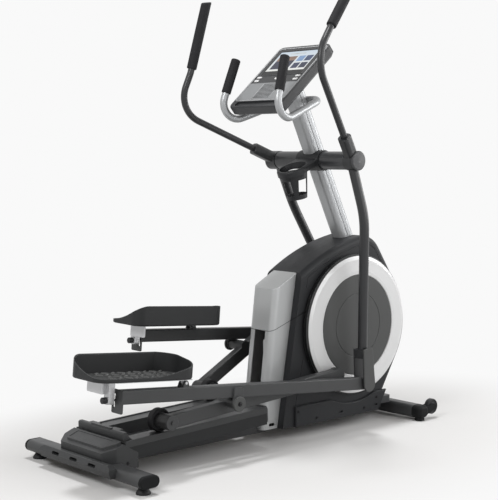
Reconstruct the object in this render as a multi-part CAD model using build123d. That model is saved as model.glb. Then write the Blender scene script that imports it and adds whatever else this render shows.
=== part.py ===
from build123d import *
import math
import os

# A front-drive elliptical trainer, in millimetres. X points forward, Y to the user's left, Z up.
# Stations along X are counted from the rear feet, and ORIGIN_X moves the finished machine so that
# its own origin is on the floor in the middle of its length.
ORIGIN_X = 744

# Running and seating clearances
FIT = 0.05
GAP = 0.4
SEAT = 0.3

# Floor frame
SPINE_W, SPINE_H, SPINE_Z = 70, 40, 50
REAR_STAB_W, REAR_STAB_H, REAR_STAB_Z = 80, 42, 46
REAR_STAB_HALF = 338
FOOT_INSET, FOOT_R, FOOT_STEM_R = 25, 25, 6
STAB_WALL = 3
CAP_T = 14
FRONT_X, FRONT_STAB_W, FRONT_STAB_H, FRONT_STAB_Z = 1510, 64, 54, 37
FRONT_STAB_HALF = 205
PLATE_X, PLATE_FRONT, PLATE_HALF, PLATE_H = 1360, 1472, 96, 30
FRONT_CAP_L = 44
WHEEL_X, WHEEL_OUT, WHEEL_Z, WHEEL_R, WHEEL_W, WHEEL_PIN_R = 1578, 21, 50, 32, 22, 5
FOOT_Y = REAR_STAB_HALF - FOOT_INSET
WHEEL_Y = FRONT_STAB_HALF + WHEEL_OUT
PLATE_Z = FRONT_STAB_Z + FRONT_STAB_H / 2

# Crank, drive and the planes that the arms run in, measured outwards from the centre plane
CRANK_X, CRANK_Z, CRANK_R, CRANK_DEG = 1228, 420, 242, 228
SHAFT_R, CRANK_ARM_L = 15, 190
HOUSING_HALF = 98
DISC_IN, DISC_OUT, DISC_R, RING_IN_R, COVER_WALL = 106, 134, 285, 204, 4
ARM_IN, ARM_W = 150, 34
PEDAL_ARM_IN, PEDAL_ARM_W = 196, 36
PULLEY_Y, PULLEY_W, PULLEY_R = 60, 18, 150
FLY_X, FLY_Z, FLY_R, FLY_T, FLY_PULLEY_R = 990, 330, 118, 36, 26
BELT_T = 2.6

# Ramp and rollers
RAMP_DEG, TRACK_X, TRACK_Z = 2.0, 200, 138
RAMP_REAR_IN, RAMP_FRONT, RAMP_HALF, RAMP_DEPTH = 48, 706, 146, 58
REAR_MARGIN, ROLLER_ROOM = 165, 4
TRACK_IN, SHEET = 82, 4
RAMP_PIN_IN, RAMP_PIN_Z, RAMP_PIN_R = 76, 100, 8
ROLLER_R, ROLLER_IN, ROLLER_W, ROLLER_SHAFT_R = 42, 100, 26, 10
HUB_R = 27
LIFT_X, LIFT_HALF, LIFT_BASE_H, SCREW_R, SCREW_L = 836, 26, 14, 8, 300
MOTOR_OUT, MOTOR_R, MOTOR_H = 70, 24, 84
COVER_REAR, COVER_ROOM, COVER_Z, COVER_DEG, CHEEK_FRONT = -34, 12, 104, 20, 98
TIER_IN, TIER_UP, PANEL_HALF, PANEL_DEPTH = 16, 8, 104, 1.5
STOP_L, STOP_H, STOP_HALF = 40, 30, 134
RIDGE_HALF = 212

# Roller arm and pedal arm
ARM_L, ARM_H = 848, 50
PIVOT_ALONG, PIVOT_UP, PIVOT_DROP = 264, 19, 45
PIVOT_HUB_R, PIVOT_PIN_R = 20, 10
PEDAL_ARM_H, PEDAL_ARM_FRONT, PEDAL_ARM_REAR, TUBE_WALL = 48, 690, -505, 3
LUG_T = 8
HINGE_X, HINGE_UP, HINGE_PIN_R = -238, 38, 5
PEDAL_REAR, PEDAL_FRONT, PEDAL_W, PEDAL_TALL, PEDAL_LOW = -378, 44, 186, 80, 13
PEDAL_RISE, PEDAL_WALL, PEDAL_FLOOR, PEDAL_SWEEP = 13, 5, 7, 15
PULL_Y, PULL_PIN_R, TILT_DEG = 186, 4, 4

# Mast, swing arms
AXLE_X, AXLE_Z, AXLE_R, AXLE_TUBE_R = 1100, 1083, 15, 36
MAST_W, MAST_R, MAST_WALL = 70, 21, 3
MAST_FOOT_X, MAST_FOOT_Z, MAST_LEAN = 1395, 520, 26.2
MAST_L = 1010
LEG_L, LEG_R, LEG_BOW, LEG_SPLAY, LEG_BEND_Z, LEG_BEND = 886, 19, 12, 36, 225, 420
SWING_Y, SWING_HUB_R, SWING_HUB_IN, SWING_HUB_OUT = 214, 38, 193, 237
SOCKET_L, SOCKET_R, SOCKET_FOOT, HANDLE_R, HANDLE_WALL, GRIP_R = 122, 23, 44, 13.2, 2, 19.5
CLEVIS_IN, CLEVIS_OUT, CLEVIS_T, CLEVIS_R, CLEVIS_L = 187.5, 242.5, 6, 27, 140

# Housing
SKIN = 4
FLOOR_GAP = 45
HEEL_X, TOE_X, BROW, PEAK = 761, 839, (829, 588), (941, 646)
COLUMN_HALF, COLUMN_EDGE, SPLIT, SPLIT_DEG = 66, 24, (807, 425), 19
SLOT_HALF, SLOT_FOOT = 30, 86
CHIN_X, SHROUD_EDGE = 1380, 22
ROOF_MID, ROOF_END = (1083, 718), (1270, 772)
CROWN, CROWN_R, NOSE, NOSE_R = (1351, 789), 115, (1609, 416), 278
ROOF_LINE_IN, SEAM_W, SEAM_DEPTH = 32, 2, 1.5
PANEL_SEAM = [(880, 465), (957, 497), (955, 340), (942, 285), (906, 128)]
SIDE_COVER_X, SIDE_COVER_TOP, SIDE_COVER_T, SCALLOP = 900, 126, 12, 36
ACCESS_L, ACCESS_H, ACCESS_Z = 20, 8, 70
ACCESS_X = [1152, 1361]

# Console and fixed handlebar
CONSOLE_X, CONSOLE_Z, CONSOLE_DEG = 766, 1288, 41
CONSOLE_L, CONSOLE_W, CONSOLE_T, CONSOLE_SKIN = 380, 286, 48, 14
LIP_L, FACE_L, KEYS_L, SCREEN_L = 46, 102, 50, 150
PULSE_R, PULSE_GRIP_R = 14.5, 18.5


def unit(deg):
    """A unit vector in the side view, as a complex number: X is real, Z is imaginary."""
    return complex(math.cos(math.radians(deg)), math.sin(math.radians(deg)))


def heading(v):
    return math.degrees(math.atan2(v.imag, v.real))


CRANK = complex(CRANK_X, CRANK_Z)
AXLE = complex(AXLE_X, AXLE_Z)
TRACK = complex(TRACK_X, TRACK_Z)


def linkage(crank_deg):
    """Solve one side for a crank angle: crank pin, roller, arm pivot, pedal arm front, and angles."""
    pin = CRANK + CRANK_R * unit(crank_deg)
    along = unit(RAMP_DEG)
    start = TRACK + ROLLER_R * along * 1j
    local = (pin - start) / along
    run = local.real - math.sqrt(ARM_L ** 2 - local.imag ** 2)
    roller = start + run * along
    arm = (pin - roller) / ARM_L
    pivot = roller + arm * complex(PIVOT_ALONG, PIVOT_UP)
    reach = complex(PEDAL_ARM_FRONT, PIVOT_DROP)
    gap = AXLE - pivot
    cosine = (abs(reach) ** 2 + abs(gap) ** 2 - LEG_L ** 2) / (2 * abs(reach) * abs(gap))
    front = pivot + abs(reach) * gap / abs(gap) * unit(-math.degrees(math.acos(cosine)))
    pedal = (front - pivot) / reach
    leg = (front - AXLE) / LEG_L
    return {"pin": pin, "roller": roller, "arm": heading(arm), "pivot": pivot,
            "front": front, "pedal": heading(pedal), "leg": heading(leg) + 90}


RIGHT = linkage(CRANK_DEG)
LEFT = linkage(CRANK_DEG + 180)

# The rear stabilizer and the ramp's rear end keep their distance from the rollers' rearmost place
ROLLER_BACK = min((linkage(deg)["roller"] for deg in range(0, 360, 3)), key=lambda place: place.real)
REAR_X = ROLLER_BACK.real - REAR_MARGIN
RAMP_REAR = REAR_X + RAMP_REAR_IN
RAMP_PIN_X = REAR_X + RAMP_PIN_IN


def slab(sketch, y_a, y_b):
    """Thicken a side-view sketch (x forward, y up) between two Y stations."""
    plane = Plane(origin=(0, max(y_a, y_b), 0), x_dir=(1, 0, 0), z_dir=(0, -1, 0))
    return extrude(plane * sketch, abs(y_b - y_a))


def rod(x, z, radius, y_a, y_b):
    return slab(Pos(x, z) * Circle(radius), y_a, y_b)


def box(x_a, x_b, y_a, y_b, z_a, z_b):
    size = (abs(x_b - x_a), abs(y_b - y_a), abs(z_b - z_a))
    return Pos((x_a + x_b) / 2, (y_a + y_b) / 2, (z_a + z_b) / 2) * Box(*size)


def hull(*shapes):
    """The tight outline round some flat shapes."""
    edges = [edge for shape in shapes for edge in shape.edges()]
    return make_hull(edges)


def tube_along(path, radius):
    return sweep(Plane(origin=path @ 0, z_dir=path % 0) * Circle(radius), path=path)


def mirrored(part):
    return mirror(part, about=Plane.XZ)


def both(part):
    return Part() + [part, mirrored(part)]


def place(part, point, deg):
    """Put a part, built about its own pivot, at a point of the side view and turn it there."""
    return Pos(point.real, 0, point.imag) * Rot(0, -deg, 0) * part


def on_ramp(part):
    return place(part, TRACK, RAMP_DEG)


def turned(profile, x, z):
    """Revolve a profile of (radius, y) points about a cross axis at x, z."""
    face = make_face(Polyline(*[(r, y) for r, y in profile], close=True))
    return Pos(x, 0, z) * revolve(face, axis=Axis.Y)


# Floor frame

def stab_outline(width, height):
    return SlotOverall(width, height)


def rear_stabilizer():
    outline = stab_outline(REAR_STAB_W, REAR_STAB_H)
    bore = stab_outline(REAR_STAB_W - 2 * STAB_WALL, REAR_STAB_H - 2 * STAB_WALL)
    tube = slab(Pos(0, REAR_STAB_Z) * (outline - bore), -REAR_STAB_HALF, REAR_STAB_HALF)
    floor_z = REAR_STAB_Z - REAR_STAB_H / 2
    for y in (-FOOT_Y, FOOT_Y):
        nut = Pos(0, y, floor_z + 11) * Cylinder(FOOT_STEM_R + 5, 22)
        tube = tube + nut - Pos(0, y, floor_z + 10) * Cylinder(FOOT_STEM_R + FIT, 30)
    return tube


def rear_end_caps():
    outline = Pos(0, REAR_STAB_Z) * stab_outline(REAR_STAB_W, REAR_STAB_H)
    cap = slab(outline, -REAR_STAB_HALF, -REAR_STAB_HALF - CAP_T)
    cap = fillet(cap.faces().sort_by(Axis.Y)[0].edges(), 4)
    inner = stab_outline(REAR_STAB_W - 2 * STAB_WALL - SEAT, REAR_STAB_H - 2 * STAB_WALL - SEAT)
    cap += slab(Pos(0, REAR_STAB_Z) * inner, -REAR_STAB_HALF, -REAR_STAB_HALF + 10)
    return both(cap)


def lift_handle():
    """A moulded carrying ridge along the rear of the stabilizer, with finger recesses in its rear face."""
    low, top = REAR_STAB_Z - 8, REAR_STAB_Z + REAR_STAB_H / 2 + 14
    front = COVER_REAR - SEAT
    section = make_face(Polyline((front - 24, low), (front - 32, low + 24), (front - 24, top),
                                 (front - 6, top), (front, top - 8), (front, low), close=True))
    section = fillet(section.vertices().group_by(Axis.Y)[-1], 5)
    ridge = slab(section, -RIDGE_HALF, RIDGE_HALF)
    for side in (-1, 1):
        slope = Pos(front, side * RIDGE_HALF, top + 12) * Rot(-side * 30, 0, 0) * Box(120, 80, 40)
        ridge -= slope
    ridge -= slab(Pos(0, REAR_STAB_Z) * stab_outline(REAR_STAB_W, REAR_STAB_H), -REAR_STAB_HALF,
                  REAR_STAB_HALF)
    recess = Plane(origin=(front - 36, 0, low + 28), x_dir=(0, 1, 0), z_dir=(1, 0, 0)) * SlotOverall(44, 11)
    for y in (-110, 0, 110):
        ridge -= Pos(0, y, 0) * extrude(recess, 22)
    return ridge.solids().sort_by(SortBy.VOLUME)[-1]


def rear_foot(y):
    """A flared levelling foot on its screw."""
    neck = REAR_STAB_Z - REAR_STAB_H / 2 - SEAT
    profile = make_face(Polyline((0, 0), (FOOT_R, 0), (FOOT_R, 6), (FOOT_R - 10, neck - 4),
                                 (FOOT_R - 10, neck),
                                 (FOOT_STEM_R, neck), (FOOT_STEM_R, neck + 20), (0, neck + 20), close=True))
    return Pos(0, y, 0) * revolve(Plane.XZ * profile, axis=Axis.Z)


def front_stabilizer():
    outline = RectangleRounded(FRONT_STAB_W, FRONT_STAB_H, 20)
    bore = RectangleRounded(FRONT_STAB_W - 2 * STAB_WALL, FRONT_STAB_H - 2 * STAB_WALL, 17)
    return slab(Pos(FRONT_X, FRONT_STAB_Z) * (outline - bore), -FRONT_STAB_HALF, FRONT_STAB_HALF)


def front_end_caps():
    """Rounded end pieces that carry a transport wheel on a pin between two ears."""
    outline = Pos(FRONT_X, FRONT_STAB_Z) * RectangleRounded(FRONT_STAB_W, FRONT_STAB_H, 20)
    end = FRONT_STAB_HALF + FRONT_CAP_L
    cap = slab(outline, -FRONT_STAB_HALF, -end)
    cap = fillet(cap.faces().sort_by(Axis.Y)[0].edges(), 18)
    inner = RectangleRounded(FRONT_STAB_W - 2 * STAB_WALL - SEAT, FRONT_STAB_H - 2 * STAB_WALL - SEAT, 17)
    cap += slab(Pos(FRONT_X, FRONT_STAB_Z) * inner, -FRONT_STAB_HALF, -FRONT_STAB_HALF + 12)
    ear = hull(Pos(WHEEL_X, WHEEL_Z) * Circle(13), Pos(FRONT_X + 16, FRONT_STAB_Z) * Circle(16))
    half = WHEEL_W / 2
    cap += slab(ear, -WHEEL_Y + half + 7, -WHEEL_Y + half + GAP)
    cap += slab(ear, -WHEEL_Y - half - GAP, -WHEEL_Y - half - 7)
    cap -= rod(WHEEL_X, WHEEL_Z, WHEEL_R + 4, -WHEEL_Y - half - GAP, -WHEEL_Y + half + GAP)
    cap += rod(WHEEL_X, WHEEL_Z, WHEEL_PIN_R, -WHEEL_Y - half - 7, -WHEEL_Y + half + 7)
    foot_top = FRONT_STAB_Z - FRONT_STAB_H / 2 + 6
    foot = Pos(FRONT_X - 4, -WHEEL_Y, 0) * Cone(22, 18, foot_top,
                                                align=(Align.CENTER, Align.CENTER, Align.MIN))
    return both(cap + fillet(foot.edges().group_by(Axis.Z)[0], 3))


def transport_wheel(y):
    half = WHEEL_W / 2
    profile = [(WHEEL_PIN_R + FIT, -half), (14, -half), (16, -half + 3), (WHEEL_R - 7, -half + 3),
               (WHEEL_R - 5, -half),
               (WHEEL_R - 2, -half), (WHEEL_R, -half + 3), (WHEEL_R, half - 3), (WHEEL_R - 2, half),
               (WHEEL_R - 5, half),
               (WHEEL_R - 7, half - 3), (16, half - 3), (14, half), (WHEEL_PIN_R + FIT, half)]
    return Pos(0, y, 0) * turned(profile, WHEEL_X, WHEEL_Z)


def mast_axis(distance):
    """A point of the mast's centre line, measured up from its foot."""
    return complex(MAST_FOOT_X, MAST_FOOT_Z) + distance * unit(90 + MAST_LEAN)


def along_mast(sketch, start, length):
    """Extrude a section along the mast; the section's x is across the machine, its y is fore and aft."""
    foot = mast_axis(start)
    direction = unit(90 + MAST_LEAN)
    plane = Plane(origin=(foot.real, 0, foot.imag), x_dir=(0, 1, 0),
                  z_dir=(direction.real, 0, direction.imag))
    return extrude(plane * sketch, length)


def base_frame():
    """The welded frame: spine, mast post and spigot, crank and flywheel bearings, ramp ears."""
    top = SPINE_Z + SPINE_H / 2
    frame = box(REAR_X + 20, FRONT_X, -SPINE_W / 2, SPINE_W / 2, SPINE_Z - SPINE_H / 2, top)
    frame -= box(REAR_X, FRONT_X + 1, -SPINE_W / 2 + TUBE_WALL, SPINE_W / 2 - TUBE_WALL,
                 SPINE_Z - SPINE_H / 2 + TUBE_WALL, top - TUBE_WALL)
    frame += box(RAMP_PIN_X - 20, RAMP_PIN_X + 20, -64, 64, top - 8, top)
    ear = hull(Pos(RAMP_PIN_X, RAMP_PIN_Z) * Circle(17), Pos(RAMP_PIN_X, top) * Rectangle(40, 2))
    frame += both(slab(ear, -64, -54)) - rod(RAMP_PIN_X, RAMP_PIN_Z, RAMP_PIN_R + FIT, -70, 70)
    saddle = box(PLATE_X, PLATE_FRONT, -PLATE_HALF, PLATE_HALF, PLATE_Z, PLATE_Z + PLATE_H)
    saddle = fillet(saddle.edges().filter_by(Axis.Z).group_by(Axis.X)[-1], 12)
    frame += saddle - box(PLATE_X - 1, PLATE_FRONT - STAB_WALL, -PLATE_HALF + STAB_WALL,
                          PLATE_HALF - STAB_WALL, PLATE_Z - 1, PLATE_Z + PLATE_H - STAB_WALL)
    post_x = MAST_FOOT_X - 30
    frame += box(post_x - 26, post_x + 26, -28, 28, top - 2, MAST_FOOT_Z - 18)
    spigot = RectangleRounded(MAST_W - 2 * MAST_WALL - SEAT, MAST_W - 2 * MAST_WALL - SEAT,
                              MAST_R - MAST_WALL)
    frame += along_mast(spigot, -34, 190)
    frame -= along_mast(RectangleRounded(MAST_W - 6 * MAST_WALL, MAST_W - 6 * MAST_WALL, MAST_WALL), -20, 200)
    frame -= box(post_x - 22, post_x + 22, -24, 24, top - 4, MAST_FOOT_Z - 60)
    frame += box(CRANK_X - 25, CRANK_X + 25, -25, 25, top - 2, CRANK_Z)
    frame -= box(CRANK_X - 21, CRANK_X + 21, -21, 21, top - 4, CRANK_Z - SHAFT_R - 22)
    frame += rod(CRANK_X, CRANK_Z, SHAFT_R + 18, -48, 48) - rod(CRANK_X, CRANK_Z, SHAFT_R + FIT, -50, 50)
    frame -= rod(CRANK_X, CRANK_Z, SHAFT_R + FIT, -50, 50)
    frame += box(CRANK_X + 23, post_x - 24, -6, 6, top - 2, CRANK_Z - 120)
    frame += box(FLY_X - 20, FLY_X + 20, 8, 34, top - 2, FLY_Z)
    frame += rod(FLY_X, FLY_Z, 24, 4, 46)
    frame -= rod(FLY_X, FLY_Z, 9 + FIT, 0, 50)
    frame -= slab(Pos(REAR_X, REAR_STAB_Z) * stab_outline(REAR_STAB_W, REAR_STAB_H), -200, 200)
    frame -= slab(Pos(FRONT_X, FRONT_STAB_Z) * RectangleRounded(FRONT_STAB_W, FRONT_STAB_H, 20), -200, 200)
    return frame


# Mast, crossbar and bottle holder

def mast_section(size):
    section = RectangleRounded(size, size, MAST_R - (MAST_W - size) / 2)
    if size == MAST_W:
        for side in (-1, 1):
            section -= Pos(side * size / 2, 6) * Rectangle(3, 9)
    return section


def mast(console, handlebar):
    tube = along_mast(mast_section(MAST_W), 0, MAST_L)
    tube -= along_mast(mast_section(MAST_W - 2 * MAST_WALL), -1, MAST_L + 2)
    tube -= rod(AXLE_X, AXLE_Z, AXLE_TUBE_R, -80, 80)
    tube = tube - console - handlebar
    return tube.solids().sort_by(SortBy.VOLUME)[-1]


def pivot_axle():
    """The crossbar with the two stub shafts that the swing arms turn on."""
    bar = rod(AXLE_X, AXLE_Z, AXLE_TUBE_R, -SWING_HUB_IN + SEAT, SWING_HUB_IN - SEAT)
    for side in (-1, 1):
        bar = fillet(bar.edges().filter_by(GeomType.CIRCLE).group_by(Axis.Y)[0 if side < 0 else -1], 3)
    bar += rod(AXLE_X, AXLE_Z, AXLE_R, -SWING_HUB_OUT - 6, SWING_HUB_OUT + 6)
    return Part() + [bar, axle_cap(), mirrored(axle_cap())]


def axle_cap():
    start = SWING_HUB_OUT + SEAT
    profile = [(0, start + 6), (AXLE_R, start + 6), (AXLE_R, start), (SWING_HUB_R - 1, start),
               (SWING_HUB_R, start + 2),
               (SWING_HUB_R, start + 8), (SWING_HUB_R - 4, start + 11), (0, start + 12)]
    return turned(profile, AXLE_X, AXLE_Z)


CUP_X, CUP_Z, CUP_R, CUP_FOOT_R, CUP_H, CUP_WALL, CUP_LEAN = 984, 1046, 56, 40, 116, 4, 13
YOKE_DEG, YOKE_T, YOKE_RIM, COLLAR_HALF, COLLAR_T = 22, 24, 8, 62, 5


def bottle_holder(mast_body):
    """A tapered slotted cup in a sloping yoke, whose collar wraps the crossbar on both sides of the mast."""
    lean = Pos(CUP_X, 0, CUP_Z) * Rot(0, -CUP_LEAN, 0)
    tilt = Pos(CUP_X, 0, CUP_Z) * Rot(0, -YOKE_DEG, 0)
    profile = make_face(Polyline((CUP_FOOT_R - 14, -CUP_H), (CUP_FOOT_R, -CUP_H), (CUP_R, -10),
                                 (CUP_R - CUP_WALL, -10), (CUP_FOOT_R - CUP_WALL, -CUP_H + 5),
                                 (CUP_FOOT_R - 14, -CUP_H + 5), close=True))
    cup = lean * revolve(Plane.XZ * profile, axis=Axis.Z)
    window = Pos(0, 0, -CUP_H / 2 - 10) * Box(240, 46, 62)
    cup -= lean * window
    cup -= lean * Rot(0, 0, 90) * window
    reach = abs(AXLE - complex(CUP_X, CUP_Z))
    outline = hull(Circle(CUP_R + YOKE_RIM), Pos(reach, 0) * Rectangle(AXLE_TUBE_R, 2 * COLLAR_HALF - 10))
    yoke = extrude(Pos(0, 0, -YOKE_T / 2) * outline, YOKE_T)
    yoke = tilt * fillet(yoke.edges().group_by(Axis.Z)[-1], 7)
    mouth = make_face(Polyline((0, -YOKE_T), (CUP_R - CUP_WALL, -YOKE_T), (CUP_R - CUP_WALL, 0),
                               (CUP_R, YOKE_T), (0, YOKE_T), close=True))
    yoke -= lean * revolve(Plane.XZ * mouth, axis=Axis.Z)
    yoke += rod(AXLE_X, AXLE_Z, AXLE_TUBE_R + COLLAR_T, -COLLAR_HALF, COLLAR_HALF)
    holder = cup + yoke - rod(AXLE_X, AXLE_Z, AXLE_TUBE_R, -SWING_Y, SWING_Y)
    holder -= along_mast(RectangleRounded(MAST_W, MAST_W, MAST_R), 0, MAST_L)
    return (holder - mast_body).solids().sort_by(SortBy.VOLUME)[-1]


# Console and fixed handlebar

def on_console(part):
    """Local x runs up the panel, y across it, z out of its face."""
    return Pos(CONSOLE_X, 0, CONSOLE_Z) * Rot(0, -CONSOLE_DEG, 0) * part


def console_outer():
    body = Pos(CONSOLE_L / 2, 0, -CONSOLE_T / 2) * Box(CONSOLE_L, CONSOLE_W, CONSOLE_T)
    body = fillet(body.edges().filter_by(Axis.Z), 26)
    body = fillet(body.faces().sort_by(Axis.Z)[-1].edges(), 5)
    return chamfer(body.faces().sort_by(Axis.Z)[0].edges(), 14)


FACE_X = LIP_L + FACE_L / 2
KEYS_X = LIP_L + FACE_L + KEYS_L / 2
SCREEN_X = LIP_L + FACE_L + KEYS_L + SCREEN_L / 2
FACE_W = CONSOLE_W - 24
SCREEN_W = CONSOLE_W - 62
KEY_L, KEY_H, KEY_T = 26, 11, 5
KEYS = [(-10, 108), (10, 108), (0, 0), (-10, -108), (10, -108)]


def console_shell():
    shell = console_outer()
    shell -= Pos(FACE_X, 0, -1.5) * Box(FACE_L, FACE_W, 3.01)
    shell -= Pos(SCREEN_X, 0, -2) * Box(SCREEN_L, SCREEN_W, 4.01)
    shell -= Pos(KEYS_X, 0, 0) * Box(KEYS_L - 8, FACE_W, 2)
    for x, y in KEYS:
        shell -= Pos(KEYS_X + x, y, -4) * extrude(Rot(0, 0, 90) * SlotOverall(KEY_L + 2 * SEAT,
                                                                              KEY_H + 2 * SEAT), 8, both=True)
    depth = CONSOLE_T - CONSOLE_SKIN - 5
    cavity = Pos(CONSOLE_L / 2, 0, -CONSOLE_SKIN - depth / 2) * Box(CONSOLE_L - 36, CONSOLE_W - 36, depth)
    shell -= fillet(cavity.edges().filter_by(Axis.Z), 12)
    shell -= Pos(CONSOLE_L / 2, 0, -CONSOLE_T) * Cylinder(16, 20)
    lip = Pos(LIP_L / 2, 0, 0) * Box(LIP_L - 22, CONSOLE_W - 60, 12)
    shell = on_console(shell - fillet(lip.edges().filter_by(Axis.Z), 8))
    return shell - pulse_bar(PULSE_R + SEAT)


def console_face():
    """The silver lower panel, with the speaker grille's rows of slots between two plain fields."""
    plate = Pos(FACE_X, 0, -1.5) * Box(FACE_L - 2 * SEAT, FACE_W - 2 * SEAT, 3)
    slot = Rot(0, 0, 90) * SlotOverall(88, 3)
    rows = 11
    for i in range(rows):
        x = FACE_X + (i - (rows - 1) / 2) * 8
        plate -= Pos(x, 0, 0) * extrude(slot, 1.6, both=True)
    return on_console(plate)


def screen():
    glass = Pos(SCREEN_X, 0, -2.25) * Box(SCREEN_L - 2 * SEAT, SCREEN_W - 2 * SEAT, 3.5)
    return on_console(chamfer(glass.faces().sort_by(Axis.Z)[-1].edges(), 0.8))


def console_key(x, y):
    key = extrude(Rot(0, 0, 90) * SlotOverall(KEY_L, KEY_H), KEY_T)
    key = Pos(KEYS_X + x, y, -KEY_T + 1.2) * fillet(key.faces().sort_by(Axis.Z)[-1].edges(), 1.2)
    return on_console(key)


PULSE = [(807, -138, 1473), (722, -165, 1208), (1044, -96, 1322), (1044, 96, 1322), (722, 165, 1208),
         (807, 138, 1473)]
PULSE_BEND = 62
PULSE_GRIP_L = 140


def pulse_bar(radius):
    return tube_along(FilletPolyline(*PULSE, radius=PULSE_BEND), radius)


def pulse_grips():
    top = Vector(*PULSE[0])
    down = (Vector(*PULSE[1]) - top).normalized()
    plane = Plane(origin=top - down * 4, z_dir=down)
    grip = extrude(plane * Circle(PULSE_GRIP_R), PULSE_GRIP_L)
    grip = fillet(grip.edges().sort_by(Axis.Z)[-1:], 4)
    bore = extrude(Plane(origin=top, z_dir=down) * Circle(PULSE_R), PULSE_GRIP_L)
    return both(grip - bore)


# Crank and drive

def crank_shaft():
    shaft = rod(CRANK_X, CRANK_Z, SHAFT_R, -DISC_OUT + 12, DISC_OUT - 12)
    for side, deg in ((-1, CRANK_DEG), (1, CRANK_DEG + 180)):
        tip = CRANK + CRANK_ARM_L * unit(deg)
        arm = hull(Pos(CRANK_X, CRANK_Z) * Circle(SHAFT_R + 13),
                   Pos(tip.real, tip.imag) * Circle(SHAFT_R + 4))
        shaft += slab(arm, side * (DISC_IN - SEAT), side * (DISC_IN - 5))
    return shaft


def crank_disc(side):
    """The dark centre of a crank cover, with a fine groove, on a back plate that carries the ring."""
    a, b = DISC_IN, DISC_OUT - 3
    inner, outer = RING_IN_R - COVER_WALL, DISC_R - 6
    profile = [(SHAFT_R, a), (SHAFT_R + 16, a), (SHAFT_R + 20, b - COVER_WALL), (inner, b - COVER_WALL),
               (inner, a), (outer, a),
               (outer, a + 4), (RING_IN_R, a + 4), (RING_IN_R, b - 2), (RING_IN_R - 3, b), (131, b),
               (130, b - 1.5),
               (128, b - 1.5), (127, b), (0, b), (0, b - 9 + FIT), (SHAFT_R, b - 9 + FIT)]
    return turned([(r, side * y) for r, y in profile], CRANK_X, CRANK_Z)


def crank_ring(side):
    a = DISC_IN + 4
    outer = DISC_R - 6
    profile = [(RING_IN_R, a), (RING_IN_R + COVER_WALL, a),
               (RING_IN_R + COVER_WALL, DISC_OUT - COVER_WALL - 2),
               (DISC_R - 22, DISC_OUT - COVER_WALL - 4), (DISC_R - 10, DISC_OUT - COVER_WALL - 9),
               (DISC_R - 10, a), (outer, a),
               (outer, a - 4), (DISC_R, a - 4), (DISC_R, DISC_OUT - 14), (DISC_R - 7, DISC_OUT - 7),
               (DISC_R - 20, DISC_OUT - 2),
               (RING_IN_R + 14, DISC_OUT), (RING_IN_R + 2, DISC_OUT - 1), (RING_IN_R, DISC_OUT - 4)]
    return turned([(r, side * y) for r, y in profile], CRANK_X, CRANK_Z)


def drive_pulley():
    a, b = PULLEY_Y, PULLEY_Y + PULLEY_W
    profile = [(SHAFT_R, a - 8), (34, a - 8), (34, a + 4), (PULLEY_R - 16, a + 4), (PULLEY_R - 16, a),
               (PULLEY_R, a), (PULLEY_R, a + 2),
               (PULLEY_R - 4, a + 4), (PULLEY_R - 4, b - 4), (PULLEY_R, b - 2), (PULLEY_R, b),
               (PULLEY_R - 16, b), (PULLEY_R - 16, b - 4),
               (34, b - 4), (34, b + 4), (SHAFT_R, b + 4)]
    wheel = turned(profile, CRANK_X, CRANK_Z)
    for i in range(5):
        hole = CRANK + 84 * unit(72 * i + 20)
        wheel -= rod(hole.real, hole.imag, 30, a - 5, b + 5)
    return wheel


def flywheel():
    """A cast flywheel, its shaft and its small belt pulley, which turn as one."""
    inner = -4
    outer = inner - FLY_T
    profile = [(0, outer - 6), (9, outer - 6), (9, outer), (26, outer), (30, outer + 10),
               (FLY_R - 26, outer + 10), (FLY_R - 22, outer),
               (FLY_R - 2, outer), (FLY_R, outer + 2), (FLY_R, inner - 2), (FLY_R - 2, inner),
               (FLY_R - 22, inner), (FLY_R - 26, inner - 10),
               (30, inner - 10), (26, inner), (9, inner), (9, PULLEY_Y), (FLY_PULLEY_R, PULLEY_Y),
               (FLY_PULLEY_R, PULLEY_Y + 2),
               (FLY_PULLEY_R - 4, PULLEY_Y + 4), (FLY_PULLEY_R - 4, PULLEY_Y + PULLEY_W - 4),
               (FLY_PULLEY_R, PULLEY_Y + PULLEY_W - 2), (FLY_PULLEY_R, PULLEY_Y + PULLEY_W),
               (0, PULLEY_Y + PULLEY_W)]
    return turned(profile, FLY_X, FLY_Z)


def drive_belt():
    def loop(extra):
        return hull(Pos(CRANK_X, CRANK_Z) * Circle(PULLEY_R - 4 + extra),
                    Pos(FLY_X, FLY_Z) * Circle(FLY_PULLEY_R - 4 + extra))
    middle = PULLEY_Y + PULLEY_W / 2
    return slab(loop(SEAT + BELT_T) - loop(SEAT), middle - 4.5, middle + 4.5)


def lift_motor():
    """The ramp's lift: a geared motor on the spine and its upright screw."""
    top = SPINE_Z + SPINE_H / 2
    motor = box(LIFT_X - LIFT_HALF, LIFT_X + MOTOR_OUT + LIFT_HALF, -LIFT_HALF, LIFT_HALF, top,
                top + LIFT_BASE_H)
    upright = (Align.CENTER, Align.CENTER, Align.MIN)
    motor += Pos(LIFT_X + MOTOR_OUT, 0, top + LIFT_BASE_H) * Cylinder(MOTOR_R, MOTOR_H, align=upright)
    motor += Pos(LIFT_X, 0, top + LIFT_BASE_H) * Cylinder(SCREW_R, SCREW_L, align=upright)
    return motor


# Housing

def shroud_outline():
    """Side view of the housing: up the leaning rear edge, over the roof, round the crank, along the floor."""
    lower = Polyline(NOSE, (CHIN_X, FLOOR_GAP), (TOE_X, FLOOR_GAP), PEAK)
    roof = ThreePointArc(PEAK, ROOF_MID, ROOF_END)
    front = Polyline(ROOF_END, CROWN, NOSE)
    outline = make_face([lower, roof, front])
    outline = fillet(outline.vertices().sort_by(Axis.Y)[-1], CROWN_R)
    return fillet(outline.vertices().sort_by(Axis.X)[-1], NOSE_R)


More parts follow.
